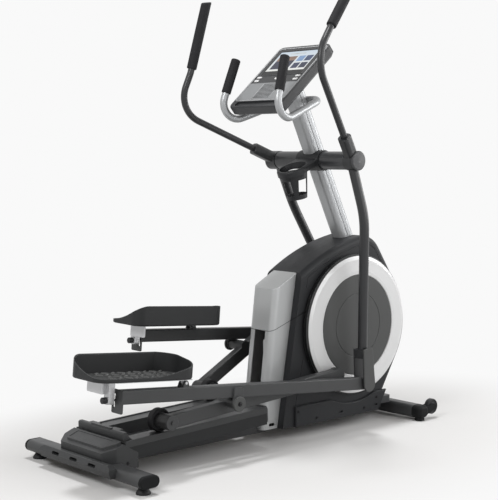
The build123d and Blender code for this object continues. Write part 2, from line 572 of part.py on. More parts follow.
def shroud_block(outline, inset):
    """The right half of the housing as a solid block, drawn in by an inset, with its outer rim rounded."""
    block = slab(offset(outline, -inset) if inset else outline, min(inset, 1), -HOUSING_HALF + inset)
    rim = block.faces().sort_by(Axis.Y)[0].edges()
    rim = rim.filter_by(lambda e: e.center().Z > FLOOR_GAP + inset + 1 and e.center().X > PEAK[0] - SKIN)
    return fillet(rim, SHROUD_EDGE - inset)


def shroud():
    """The right half of the housing, an open-backed shell that meets the other half on the centre plane."""
    outline = shroud_outline()
    shell = shroud_block(outline, 0) - shroud_block(outline, SKIN)
    shell -= box(TOE_X - 10, PEAK[0] + SKIN, 1, -COLUMN_HALF + 2 * SKIN, FLOOR_GAP + SKIN, PEAK[1] - 30)
    shell -= rod(CRANK_X, CRANK_Z, SHAFT_R + 16, 0, -HOUSING_HALF - 5)
    shell -= box(MAST_FOOT_X - 60, MAST_FOOT_X + 60, 1, -60, FLOOR_GAP - 5, FLOOR_GAP + SKIN + 1)
    shell -= box(TOE_X - 20, MAST_FOOT_X + 60, 1, -SPINE_W / 2 - SEAT, FLOOR_GAP - 5, FLOOR_GAP + SKIN + 30)
    shell -= along_mast(RectangleRounded(MAST_W + 2 * SEAT, MAST_W + 2 * SEAT, MAST_R), 0, MAST_L)
    shell -= box(PLATE_X - SEAT, PLATE_FRONT, -PLATE_HALF - SEAT, 1, PLATE_Z - SEAT,
                 PLATE_Z + PLATE_H + SEAT)
    seam_in = -HOUSING_HALF + SEAM_DEPTH
    shell -= slab(trace(Polyline(*PANEL_SEAM), SEAM_W), seam_in, -HOUSING_HALF - 1)
    roof_line = offset(outline, -ROOF_LINE_IN) - offset(outline, -ROOF_LINE_IN - SEAM_W)
    over_roof = box(PEAK[0] - 4, NOSE[0], seam_in, -HOUSING_HALF - 1, PEAK[1] - 60, CROWN[1])
    shell -= slab(roof_line, seam_in, -HOUSING_HALF - 1) & over_roof
    return shell.solids().sort_by(SortBy.VOLUME)[-1]


def column_block(inset):
    """The rear column of the housing, pushed across from its side view, with its two rear edges rounded."""
    front = 10 if inset else -SEAT
    below = 1 if inset else 0
    profile = make_face(Polyline((HEEL_X + inset, FLOOR_GAP - below), (BROW[0] + inset, BROW[1] - inset / 2),
                                 (PEAK[0] + front, PEAK[1] - inset), (TOE_X + front, FLOOR_GAP - below),
                                 close=True))
    block = slab(profile, -COLUMN_HALF + inset, COLUMN_HALF - inset)
    upright = block.edges().filter_by(lambda e: abs(e.center().Y) > SKIN and e.length > BROW[1] / 2)
    rear = upright.filter_by(lambda e: e.center().X < TOE_X - SKIN)
    return fillet(rear, COLUMN_EDGE - inset)


def above_split(lift):
    return place(box(-400, 400, -200, 200, lift, 500), complex(*SPLIT), SPLIT_DEG)


def rear_trim_lower():
    column = column_block(0) - column_block(SKIN) - above_split(-SEAT)
    column -= box(HEEL_X - 60, TOE_X, -SLOT_HALF, SLOT_HALF, SLOT_FOOT, BROW[1])
    column -= box(HEEL_X - 60, TOE_X + 10, -SPINE_W / 2 - SEAT, SPINE_W / 2 + SEAT, FLOOR_GAP - 5,
                  FLOOR_GAP + 30)
    access = slab(Pos((HEEL_X + TOE_X) / 2 + 10, FLOOR_GAP + 17) * SlotOverall(30, 12), -200, 200)
    return column - access


def rear_trim_upper():
    cap = column_block(0)
    brow = cap.faces().sort_by(Axis.Z)[-1].edges()
    cap = fillet(brow.filter_by(lambda e: e.center().X < PEAK[0] - 2), 4)
    return (cap - column_block(SKIN)) & above_split(0)


def side_cover():
    """The lower side panel, scalloped round the crank cover."""
    chin = (NOSE[0] - CHIN_X) / (NOSE[1] - FLOOR_GAP)
    front_top = CHIN_X + chin * (SIDE_COVER_TOP - FLOOR_GAP)
    outline = make_face(Polyline((SIDE_COVER_X, FLOOR_GAP), (CHIN_X, FLOOR_GAP), (front_top, SIDE_COVER_TOP),
                                 (SIDE_COVER_X, SIDE_COVER_TOP), close=True))
    outline -= Pos(CRANK_X, CRANK_Z) * Circle(DISC_R + SCALLOP)
    panel = slab(outline, -HOUSING_HALF - SEAT, -HOUSING_HALF - SIDE_COVER_T)
    edge = panel.faces().sort_by(Axis.Y)[0].edges().filter_by(lambda e: e.center().Z > FLOOR_GAP + 10)
    panel = chamfer(edge, 3)
    for x in ACCESS_X:
        panel -= slab(Pos(x, ACCESS_Z) * Rectangle(ACCESS_L, ACCESS_H), -HOUSING_HALF - SIDE_COVER_T + 6,
                      -HOUSING_HALF - SIDE_COVER_T - 1)
    return panel


# Ramp

def track_channel():
    """One folded track: a flat running face with a flange down each side."""
    middle = (TRACK_IN + RAMP_HALF) / 2
    width = RAMP_HALF - TRACK_IN
    outside = Pos(-middle, -RAMP_DEPTH / 2) * Rectangle(width, RAMP_DEPTH)
    inside = Pos(-middle, -RAMP_DEPTH / 2 - SHEET) * Rectangle(width - 2 * SHEET, RAMP_DEPTH)
    section = outside - inside
    plane = Plane(origin=(RAMP_REAR - TRACK_X, 0, 0), x_dir=(0, 1, 0), z_dir=(1, 0, 0))
    return extrude(plane * section, RAMP_FRONT - RAMP_REAR)


def ramp_frame():
    """Two tracks joined by a floor sheet, a front plate with the lift tongue, and the rear pivot rod."""
    rear, front = RAMP_REAR - TRACK_X, RAMP_FRONT - TRACK_X
    ramp = both(track_channel())
    ramp += box(rear + 60, front, -TRACK_IN, TRACK_IN, -RAMP_DEPTH + 8, -RAMP_DEPTH + 11)
    plate = Pos(0, -RAMP_DEPTH / 2) * RectangleRounded(2 * RAMP_HALF, RAMP_DEPTH + 8, 14)
    ramp += extrude(Plane(origin=(front, 0, 2), x_dir=(0, 1, 0), z_dir=(1, 0, 0)) * plate, 8)
    screw = LIFT_X - TRACK_X
    ramp += box(front, screw + 38, -18, 18, -36, -22)
    ramp -= Pos(screw + 7, 0, -29) * extrude(SlotOverall(44, 22), 20, both=True)
    pin = (complex(RAMP_PIN_X, RAMP_PIN_Z) - TRACK) / unit(RAMP_DEG)
    ramp += rod(pin.real, pin.imag, RAMP_PIN_R, -TRACK_IN - 1, TRACK_IN + 1)
    cheek = hull(Pos(pin.real, pin.imag) * Circle(16),
                 Pos(rear + 16, -RAMP_DEPTH / 2) * Rectangle(32, RAMP_DEPTH - 8))
    ramp += both(slab(cheek, -TRACK_IN - SHEET, -TRACK_IN))
    return on_ramp(ramp)


def ramp_side_cover():
    """The stepped cover outside a track."""
    rear, front = RAMP_REAR - TRACK_X + 2, RAMP_FRONT - TRACK_X - SEAT
    cover = box(rear, front, -RAMP_HALF - 2.5, -RAMP_HALF, -20, 3)
    cover += box(rear, front, -RAMP_HALF - 3.6, -RAMP_HALF, -RAMP_DEPTH - 4, -20)
    cover += box(rear, front, -RAMP_HALF, -RAMP_HALF + 6, SEAT, 3)
    return on_ramp(cover)


def ramp_end_stop():
    """The moulded stop across both tracks, with a round seat for each roller and a raised middle pad."""
    rear = RAMP_REAR - TRACK_X + 2
    stop = box(rear, rear + STOP_L, -STOP_HALF, STOP_HALF, 0, STOP_H)
    stop = fillet(stop.edges().filter_by(Axis.Y).group_by(Axis.Z)[-1], 8)
    for side in (-1, 1):
        seat_y = side * (ROLLER_IN + ROLLER_W / 2)
        stop -= rod(rear + STOP_L + ROLLER_R / 2, ROLLER_R, ROLLER_R + ROLLER_ROOM, seat_y - 24, seat_y + 24)
    stop -= Pos(rear + STOP_L + 10, 0, STOP_H / 2) * Cylinder(46, 60)
    pad = box(rear + 2, rear + 14, -60, 60, STOP_H - 6, STOP_H + 5)
    stop += fillet(pad.edges().filter_by(Axis.Z), 4)
    return on_ramp(max(stop.solids(), key=lambda s: s.volume))


def ramp_rear_cover():
    """The cover over the ramp's pivot: a two-tier sloping top, and a cheek outside each ramp side."""
    half = RAMP_HALF + 10
    front = RAMP_REAR_IN - COVER_ROOM
    base = REAR_STAB_Z - 6
    wall = 4

    def tier(inset, x_front):
        rear, side = COVER_REAR + inset, half - inset
        return make_face(Polyline((x_front, -side), (rear + 40, -side), (rear, -side + 34), (rear, side - 34),
                                  (rear + 40, side), (x_front, side), close=True))

    def sloped(lift):
        edge = complex(COVER_REAR, COVER_Z + lift)
        return place(box(-100, 300, -200, 200, 0, 200), edge, COVER_DEG)
    body = Pos(0, 0, base) * extrude(tier(0, CHEEK_FRONT), 130) - sloped(0)
    body += Pos(0, 0, base) * extrude(tier(TIER_IN, front), 150) - sloped(TIER_UP)
    body = fillet(body.edges().filter_by(Axis.Z).filter_by(lambda e: e.center().X < front - 10), 10)
    panel = box(26, 66, -PANEL_HALF, PANEL_HALF, -PANEL_DEPTH, 20)
    body -= place(panel, complex(COVER_REAR, COVER_Z + TIER_UP), COVER_DEG)
    body -= Pos(0, 0, base - 1) * extrude(tier(wall, CHEEK_FRONT + 5), 130) - sloped(-wall)
    body -= box(front, CHEEK_FRONT + 5, -half + wall, half - wall, base - 5, 2 * COVER_Z)
    body -= place(box(0, 200, -200, 200, 0, 200), complex(front, COVER_Z + 24), -30)
    body -= slab(Pos(0, REAR_STAB_Z) * stab_outline(REAR_STAB_W + 2 * SEAT, REAR_STAB_H + 2 * SEAT), -200,
                 200)
    return max(body.solids(), key=lambda s: s.volume)


# Roller arm and what it carries. Each piece is built for the right side about its own pivot.

def roller_guard():
    """The carriage plate beside a roller, which keeps it on its track."""
    shape = hull(Circle(30), Pos(-19, -ROLLER_R + 10) * Circle(6), Pos(26, -ROLLER_R + 10) * Circle(6))
    plate = slab(shape, -ROLLER_IN + 3, -ROLLER_IN + 9)
    return plate - rod(0, 0, ROLLER_SHAFT_R + FIT, 0, -ROLLER_IN)


def roller_wheel():
    a, b, tread = ROLLER_IN, ROLLER_IN + ROLLER_W, ROLLER_R - SEAT
    profile = [(ROLLER_SHAFT_R + FIT, -a), (18, -a), (20, -a - 3), (tread - 9, -a - 3), (tread - 7, -a),
               (tread - 2, -a), (tread, -a - 2),
               (tread, -b + 2), (tread - 2, -b), (tread - 7, -b), (tread - 9, -b + 3), (20, -b + 3),
               (18, -b), (ROLLER_SHAFT_R + FIT, -b)]
    return turned(profile, 0, 0)


def roller_axle():
    """The roller's shaft, with the wide sleeve beside the roller and the bolted cap outside the arm."""
    sleeve_in, arm_out = ROLLER_IN + ROLLER_W + GAP, ARM_IN + ARM_W
    axle = rod(0, 0, ROLLER_SHAFT_R, -ROLLER_IN + 3, -arm_out - 2)
    axle += rod(0, 0, HUB_R, -sleeve_in, -ARM_IN + GAP)
    cap = rod(0, 0, HUB_R, -arm_out - GAP, -arm_out - 8)
    axle += fillet(cap.faces().sort_by(Axis.Y)[0].edges(), 3)
    return axle + slab(RegularPolygon(7, 6), -arm_out - 8, -arm_out - 12)


def roller_arm():
    """The drive arm: a rectangular tube from the roller's eye to the crank pin, with the pedal arm's hub."""
    a, b = -ARM_IN, -ARM_IN - ARM_W
    tube = box(0, ARM_L - 6, a, b, -ARM_H / 2, ARM_H / 2)
    tube = fillet(tube.edges().filter_by(Axis.X), 5)
    tube -= box(0, ARM_L - 6, a - TUBE_WALL, b + TUBE_WALL, -ARM_H / 2 + TUBE_WALL, ARM_H / 2 - TUBE_WALL)
    arm = tube + rod(0, 0, HUB_R, a, b) + rod(ARM_L, 0, ARM_H / 2 + 3, a, b)
    arm += rod(ARM_L, 0, 15, -DISC_OUT - GAP, a)
    arm += rod(PIVOT_ALONG, PIVOT_UP, PIVOT_HUB_R, a, -PEDAL_ARM_IN - PEDAL_ARM_W + GAP)
    arm -= rod(PIVOT_ALONG, PIVOT_UP, PIVOT_PIN_R + FIT, a - 4, -PEDAL_ARM_IN - PEDAL_ARM_W)
    return arm - rod(0, 0, ROLLER_SHAFT_R + FIT, 0, -300)


def pedal_arm():
    """The foot lever: hollow tube, lug and pin over the hub, front boss, rear tilt plate, hinge ears."""
    a, b = -PEDAL_ARM_IN, -PEDAL_ARM_IN - PEDAL_ARM_W
    half = PEDAL_ARM_H / 2
    boss = half - 2
    tube = box(PEDAL_ARM_REAR, PEDAL_ARM_FRONT - 10, a, b, -half, half)
    tube = fillet(tube.edges().filter_by(Axis.X), 5)
    tube -= box(PEDAL_ARM_REAR - 1, PEDAL_ARM_FRONT - 40, a - TUBE_WALL, b + TUBE_WALL, -half + TUBE_WALL,
                half - TUBE_WALL)
    arm = tube + rod(PEDAL_ARM_FRONT, 0, boss, a, b)
    arm += rod(PEDAL_ARM_FRONT, 0, 10, -CLEVIS_IN - CLEVIS_T - GAP, -CLEVIS_OUT + CLEVIS_T + GAP)
    lug = hull(Pos(0, -PIVOT_DROP) * Circle(PIVOT_HUB_R + 2),
               Pos(0, 2) * RectangleRounded(PIVOT_HUB_R * 2 + 4, 24, 8))
    arm += slab(lug, b, b - LUG_T)
    arm += rod(0, -PIVOT_DROP, PIVOT_PIN_R, -ARM_IN - 5, b - 1)
    arm += slab(Pos(0, -PIVOT_DROP) * RegularPolygon(7, 6), b - LUG_T, b - LUG_T - 4)
    arm += rear_plate()
    for y in (a - 2, b + 8):
        ear = hull(Pos(HINGE_X, HINGE_UP) * Circle(9), Pos(HINGE_X, half - 2) * Rectangle(30, 2))
        arm += slab(ear, y, y - 6) - rod(HINGE_X, HINGE_UP, HINGE_PIN_R + FIT, 0, -300)
    return arm


def rear_plate():
    """The plate across the pedal arm's rear end, with three notches joined by a curved slot."""
    half = PEDAL_ARM_H / 2
    reach = PEDAL_ARM_REAR - HINGE_X
    plate = box(PEDAL_ARM_REAR - 5, PEDAL_ARM_REAR, -PULL_Y + 12, -PEDAL_ARM_IN - PEDAL_ARM_W, -half - 32,
                half)
    plate = fillet(plate.edges().filter_by(Axis.X), 6)
    travel = abs(reach) * math.sin(math.radians(TILT_DEG)) + PULL_PIN_R + 1.2
    slot = Rot(0, 0, 90) * SlotOverall(2 * travel, 2 * PULL_PIN_R + 1.6)
    plane = Plane(origin=(PEDAL_ARM_REAR - 10, -PULL_Y, PULL_UP), x_dir=(0, 1, 0), z_dir=(1, 0, 0))
    plate -= extrude(plane * slot, 20)
    for deg in (-TILT_DEG, 0, TILT_DEG):
        notch = Plane(origin=(PEDAL_ARM_REAR - 10, -PULL_Y, PULL_UP + reach * math.sin(math.radians(deg))),
                      z_dir=(1, 0, 0))
        plate -= extrude(notch * Circle(PULL_PIN_R + 2), 20)
    return plate


PULL_UP = -14


def pedal_outline(inset):
    """Plan of the foot tray, toe forwards; x forward, y across, counted from the hinge and the outer edge."""
    x_a, x_b = PEDAL_REAR + inset, PEDAL_FRONT - inset
    y_out, y_in = -inset, -PEDAL_W + inset
    tray = Pos((x_a + x_b) / 2, (y_out + y_in) / 2) * Rectangle(x_b - x_a, y_out - y_in)
    tray = fillet(tray.vertices().group_by(Axis.X)[-1], 62 - inset)
    return fillet(tray.vertices().group_by(Axis.X)[0], 46 - inset)


PEDAL_OUT_Y = PEDAL_ARM_IN + PEDAL_ARM_W + 12


def pedal_tray():
    """The moulded foot tray: tall inboard wall, low outer lip, ribbed tread."""
    to_side = Pos(0, -PEDAL_OUT_Y, PEDAL_RISE) * Rot(0, 0, 0)
    outer = mirrored(extrude(pedal_outline(0), PEDAL_TALL + 20))
    inner = mirrored(Pos(0, 0, PEDAL_FLOOR) * extrude(pedal_outline(PEDAL_WALL), PEDAL_TALL + 40))
    outer = fillet(outer.edges().group_by(Axis.Z)[0], 6)
    tray = outer - inner
    out, across = -6, PEDAL_W + 6
    sag = ThreePointArc((out, PEDAL_LOW), (PEDAL_W / 2, PEDAL_LOW + PEDAL_SWEEP), (across, PEDAL_TALL))
    over = Polyline((across, PEDAL_TALL), (across, 200), (out, 200), (out, PEDAL_LOW))
    end = Plane(origin=(PEDAL_REAR - 20, 0, 0), x_dir=(0, 1, 0), z_dir=(1, 0, 0))
    tray -= extrude(end * make_face([sag, over]), PEDAL_FRONT - PEDAL_REAR + 40)
    for i in range(9):
        for j in range(4):
            x = PEDAL_REAR + 76 + i * 34 + (17 if j % 2 else 0)
            y = 36 + j * 38
            stud = Pos(x, y, PEDAL_FLOOR) * Rot(0, 0, 35 if (i + j) % 2 else -35) * Box(25, 6, 5)
            tray += stud
    return to_side * tray


def pedal_bracket():
    """The silver carrier under the tray: base strip, hinge knuckle and pin, rear block and lever."""
    y_a, y_b = -PEDAL_ARM_IN, -PEDAL_ARM_IN - PEDAL_ARM_W
    up = HINGE_UP
    bracket = box(PEDAL_REAR + 80, PEDAL_FRONT - 20, y_a, y_b, PEDAL_RISE - 3, PEDAL_RISE)
    knuckle = hull(Circle(8), Pos(0, PEDAL_RISE - 2) * Rectangle(24, 2))
    middle = (y_a + y_b) / 2
    bracket += slab(knuckle, middle - 5, middle + 5)
    bracket += rod(0, 0, HINGE_PIN_R, y_a - 2, y_b + 2)
    x_b = PEDAL_ARM_REAR - HINGE_X - 5 - 8
    x_a = x_b - 24
    pull_z = PULL_UP - up
    bracket += box(x_a, PEDAL_REAR + 90, -PULL_Y + 14, y_b + 8, PEDAL_RISE - 3, PEDAL_RISE)
    block = box(x_a, x_b, -PULL_Y + 14, -PULL_Y - 12, pull_z - 14, PEDAL_RISE - 1)
    bracket += fillet(block.edges().filter_by(Axis.X).group_by(Axis.Z)[0], 8)
    lever = box(x_a - 16, x_a - 12, -PULL_Y + 92, -PULL_Y + 6, -32, PEDAL_RISE)
    bracket += fillet(lever.edges().filter_by(Axis.X), 5)
    bracket += box(x_a - 16, x_b, -PULL_Y + 10, -PULL_Y + 6, -32, PEDAL_RISE)
    bracket -= Pos(x_a, -PULL_Y, pull_z) * Rot(0, 90, 0) * Cylinder(PULL_PIN_R + FIT, 120)
    return bracket


def pull_pin():
    """The spring-loaded pin with its round knob, behind the pedal arm's end plate."""
    x_b = PEDAL_ARM_REAR - HINGE_X - 5 - 8
    x_a = x_b - 24
    pull_z = PULL_UP - HINGE_UP
    tip = PEDAL_ARM_REAR - HINGE_X + 2
    pin = Pos((x_a + tip) / 2, -PULL_Y, pull_z) * Rot(0, 90, 0) * Cylinder(PULL_PIN_R, tip - x_a)
    knob = Pos(x_a - GAP - 9, -PULL_Y, pull_z) * Rot(0, 90, 0) * Cylinder(11, 18)
    return pin + fillet(knob.edges(), 2.5) + Pos(x_a - 1, -PULL_Y, pull_z) * Rot(0, 90,
                                                                                 0) * Cylinder(PULL_PIN_R, 6)


# Swing arm, built about the crossbar with its foot straight below

HANDLE = [(-278, 397, 317), (-166, 502, 285), (25, 703, 259)]
HANDLE_BEND = 110
GRIP_START = 16
SOCKET_UP = Vector(HANDLE[0][0], SWING_Y - HANDLE[0][2], HANDLE[0][1]).normalized()


def along_socket(distance):
    return Vector(0, -SWING_Y, 0) + SOCKET_UP * distance


def handle_points():
    return [tuple(along_socket(SOCKET_FOOT))] + [(x, -y, z) for x, z, y in HANDLE]


def leg_path(start):
    """The leg's centre line: outwards from the hub, round a wide bend and down to the clevis."""
    top = Vector(0, -SWING_Y + 6, -10)
    bend = Vector(LEG_BOW, -SWING_Y - LEG_SPLAY, -LEG_BEND_Z)
    foot = Vector(0, -SWING_Y, CLEVIS_L - LEG_L - 26)
    return FilletPolyline(top + (bend - top) * start, bend, foot, radius=LEG_BEND)


def swing_leg():
    """The lower lever: hub, upper socket, splayed tube and the clevis that holds the pedal arm's front."""
    arm = rod(0, 0, SWING_HUB_R, -SWING_HUB_IN, -SWING_HUB_OUT) + tube_along(leg_path(0), LEG_R)
    across = Vector(0, 1, 0).cross(SOCKET_UP)
    socket = Plane(origin=along_socket(0), x_dir=across, z_dir=SOCKET_UP)
    sleeve = extrude(socket * RectangleRounded(2 * SOCKET_R, 2 * SOCKET_R, 15), SOCKET_L)
    arm += fillet(sleeve.faces().sort_by(Axis.Z)[-1].edges(), 3)
    arm -= extrude(Plane(origin=along_socket(SOCKET_FOOT), z_dir=SOCKET_UP) * Circle(HANDLE_R), SOCKET_L)
    arm -= rod(0, 0, SWING_HUB_R + 3, 0, -SWING_HUB_IN)
    arm -= rod(0, 0, SWING_HUB_R + 3, -SWING_HUB_OUT, -SWING_HUB_OUT - 30)
    neck = CLEVIS_L - LEG_L
    cheek = hull(Pos(0, -LEG_L) * Circle(CLEVIS_R), Pos(0, neck - 16) * Rectangle(44, 32))
    arm += slab(cheek, -CLEVIS_IN, -CLEVIS_IN - CLEVIS_T) + slab(cheek, -CLEVIS_OUT, -CLEVIS_OUT + CLEVIS_T)
    web = box(-22, 22, -CLEVIS_IN, -CLEVIS_OUT, neck - 36, neck)
    arm += fillet(web.edges().group_by(Axis.Z)[-1], 5)
    arm += slab(Pos(0, -LEG_L) * RegularPolygon(8, 6), -CLEVIS_OUT, -CLEVIS_OUT - 4)
    arm -= tube_along(leg_path(0.25), LEG_R - TUBE_WALL)
    arm -= Pos(0, -SWING_Y, neck - 26) * Cylinder(LEG_R - TUBE_WALL, 40,
                                                  align=(Align.CENTER, Align.CENTER, Align.MAX))
    return arm - rod(0, 0, AXLE_R + FIT, 0, -300)


def swing_handle():
    path = FilletPolyline(*handle_points(), radius=HANDLE_BEND)
    tube = tube_along(path, HANDLE_R) - tube_along(path, HANDLE_R - HANDLE_WALL)
    tip = Vector(*handle_points()[-1])
    direction = (tip - Vector(*handle_points()[-2])).normalized()
    return tube - extrude(Plane(origin=tip - direction * 4, z_dir=direction) * Circle(40), 60)


def swing_grip():
    """The foam sleeve over the straight upper run, closed and rounded at the top."""
    foot, tip = Vector(*handle_points()[-2]), Vector(*handle_points()[-1])
    direction = (tip - foot).normalized()
    length = (tip - foot).length
    start = Plane(origin=foot + direction * GRIP_START, z_dir=direction)
    grip = extrude(start * Circle(GRIP_R), length - GRIP_START)
    grip = fillet(grip.edges().sort_by(Axis.Z)[-1:], 8)
    return grip - extrude(start * Circle(HANDLE_R), length - GRIP_START - 4)


# Build every node

def side_nodes(name, flip, pose):
    def set_out(part, point, deg):
        return place(mirrored(part) if flip else part, point, deg)
    hinge = pose["pivot"] + unit(pose["pedal"]) * complex(HINGE_X, HINGE_UP + PIVOT_DROP)
    return {
        f"roller_guard_{name}": set_out(roller_guard(), pose["roller"], RAMP_DEG),
        f"roller_wheel_{name}": set_out(roller_wheel(), pose["roller"], RAMP_DEG),
        f"roller_axle_{name}": set_out(roller_axle(), pose["roller"], pose["arm"]),
        f"roller_arm_{name}": set_out(roller_arm(), pose["roller"], pose["arm"]),
        f"pedal_arm_{name}": set_out(Pos(0, 0, PIVOT_DROP) * pedal_arm(), pose["pivot"], pose["pedal"]),
        f"pedal_tray_{name}": set_out(pedal_tray(), hinge, pose["pedal"]),
        f"pedal_bracket_{name}": set_out(pedal_bracket(), hinge, pose["pedal"]),
        f"pull_pin_{name}": set_out(pull_pin(), hinge, pose["pedal"]),
        f"swing_leg_{name}": set_out(swing_leg(), AXLE, pose["leg"]),
        f"swing_handle_{name}": set_out(swing_handle(), AXLE, pose["leg"]),
        f"swing_grip_{name}": set_out(swing_grip(), AXLE, pose["leg"]),
    }


def build():
    to_rear = Pos(REAR_X, 0, 0)
    handlebar = pulse_bar(PULSE_R)
    mast_body = mast(on_console(console_outer()), handlebar)
    half_shell = shroud()
    nodes = {
        "base_frame": base_frame(),
        "rear_stabilizer": to_rear * rear_stabilizer(),
        "lift_handle": to_rear * lift_handle(),
        "rear_foot_right": to_rear * rear_foot(-FOOT_Y),
        "rear_foot_left": to_rear * rear_foot(FOOT_Y),
        "front_stabilizer": front_stabilizer(),
        "stabilizer_end_caps": Part() + [to_rear * rear_end_caps(), front_end_caps()],
        "transport_wheel_right": transport_wheel(-WHEEL_Y),
        "transport_wheel_left": transport_wheel(WHEEL_Y),
        "mast": mast_body,
        "pivot_axle": pivot_axle(),
        "bottle_holder": bottle_holder(mast_body),
        "console_shell": console_shell(),
        "console_face": console_face(),
        "screen": screen(),
        "pulse_handlebar": handlebar - pulse_bar(PULSE_R - HANDLE_WALL),
        "pulse_grips": pulse_grips(),
        "shroud_right": half_shell,
        "shroud_left": mirrored(half_shell),
        "rear_trim_lower": rear_trim_lower(),
        "rear_trim_upper": rear_trim_upper(),
        "side_covers": both(side_cover()),
        "crank_shaft": crank_shaft(),
        "crank_discs": Part() + [crank_disc(-1), crank_disc(1)],
        "crank_rings": Part() + [crank_ring(-1), crank_ring(1)],
        "drive_pulley": drive_pulley(),
        "flywheel": flywheel(),
        "drive_belt": drive_belt(),
        "lift_motor": lift_motor(),
        "ramp_frame": ramp_frame(),
        "ramp_side_covers": both(ramp_side_cover()),
        "ramp_end_stop": ramp_end_stop(),
        "ramp_rear_cover": to_rear * ramp_rear_cover(),
    }
    for i, (x, y) in enumerate(KEYS):
        nodes[f"console_key_{i + 1}"] = console_key(x, y)
    nodes.update(side_nodes("right", False, RIGHT))
    nodes.update(side_nodes("left", True, LEFT))
    return nodes


def main():
    os.makedirs("parts", exist_ok=True)
    for name, part in build().items():
        export_step(Pos(-ORIGIN_X, 0, 0) * part, f"parts/{name}.step")


if __name__ == "__main__":
    main()
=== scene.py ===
import math

import bmesh
import bpy
import numpy as np
from mathutils import Matrix, Vector
from mathutils.bvhtree import BVHTree


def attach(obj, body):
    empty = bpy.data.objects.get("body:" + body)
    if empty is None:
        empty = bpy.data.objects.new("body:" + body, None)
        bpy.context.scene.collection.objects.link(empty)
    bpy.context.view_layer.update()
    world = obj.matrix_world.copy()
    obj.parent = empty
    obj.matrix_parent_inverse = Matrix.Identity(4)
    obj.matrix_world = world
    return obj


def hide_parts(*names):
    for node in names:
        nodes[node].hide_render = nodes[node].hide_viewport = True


# Looks of a front-drive elliptical trainer. Metres, X forward, Y to the user's left, Z up.
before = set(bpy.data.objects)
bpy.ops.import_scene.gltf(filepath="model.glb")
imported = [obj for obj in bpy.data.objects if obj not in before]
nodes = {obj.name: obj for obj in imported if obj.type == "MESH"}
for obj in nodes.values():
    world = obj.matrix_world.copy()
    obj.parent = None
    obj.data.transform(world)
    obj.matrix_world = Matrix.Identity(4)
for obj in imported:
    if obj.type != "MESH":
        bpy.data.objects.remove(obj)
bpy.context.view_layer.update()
MM = 0.001
SIDES = {"right": -1, "left": 1}

# Where the console's panel lies: x up the panel, y across it, z out of its face
CONSOLE_AT, CONSOLE_DEG = (22 * MM, 0.0, 1288 * MM), 41
CONSOLE = Matrix.Translation(CONSOLE_AT) @ Matrix.Rotation(math.radians(-CONSOLE_DEG), 4, "Y")


# Colours and nodes

def linear(code):
    """An sRGB hex colour as linear red, green, blue, alpha."""
    values = [int(code[i:i + 2], 16) / 255 for i in (1, 3, 5)]
    return tuple(v / 12.92 if v <= 0.04045 else ((v + 0.055) / 1.055) ** 2.4 for v in values) + (1.0,)


def shade(colour, factor):
    """An sRGB hex colour made lighter or darker by a factor, in linear values."""
    return tuple(min(1.0, c * factor) for c in linear(colour)[:3]) + (1.0,)


def add(tree, kind, inputs=None, **settings):
    """Add one node, set its properties, and fill its inputs with values or with links."""
    made = tree.nodes.new(kind)
    for name, value in settings.items():
        setattr(made, name, value)
    for key, value in (inputs or {}).items():
        if isinstance(value, bpy.types.NodeSocket):
            tree.links.new(value, made.inputs[key])
        else:
            made.inputs[key].default_value = value
    return made


def per_metre(size_mm):
    """Texture scale for a feature of a real size in millimetres."""
    return 1.0 / (size_mm * MM)


def blank(name):
    """A new material and its empty node tree."""
    made = bpy.data.materials.new(name)
    made.use_nodes = True
    made.node_tree.nodes.clear()
    return made, made.node_tree


# Size in millimetres of the slow colour clouds and of the rubbed patches along edges
CLOUD_MM, PATCH_MM = 60, 14
# Part of the cloud noise that gloss follows
CLOUD_LOW, CLOUD_HIGH = 0.3, 0.7
# Cosine of the turn between a rounded edge and its flat face where wear begins, and where it is full
WEAR_BEGINS, WEAR_FULL = 0.99, 0.86
GRAIN_STRENGTH = 0.35


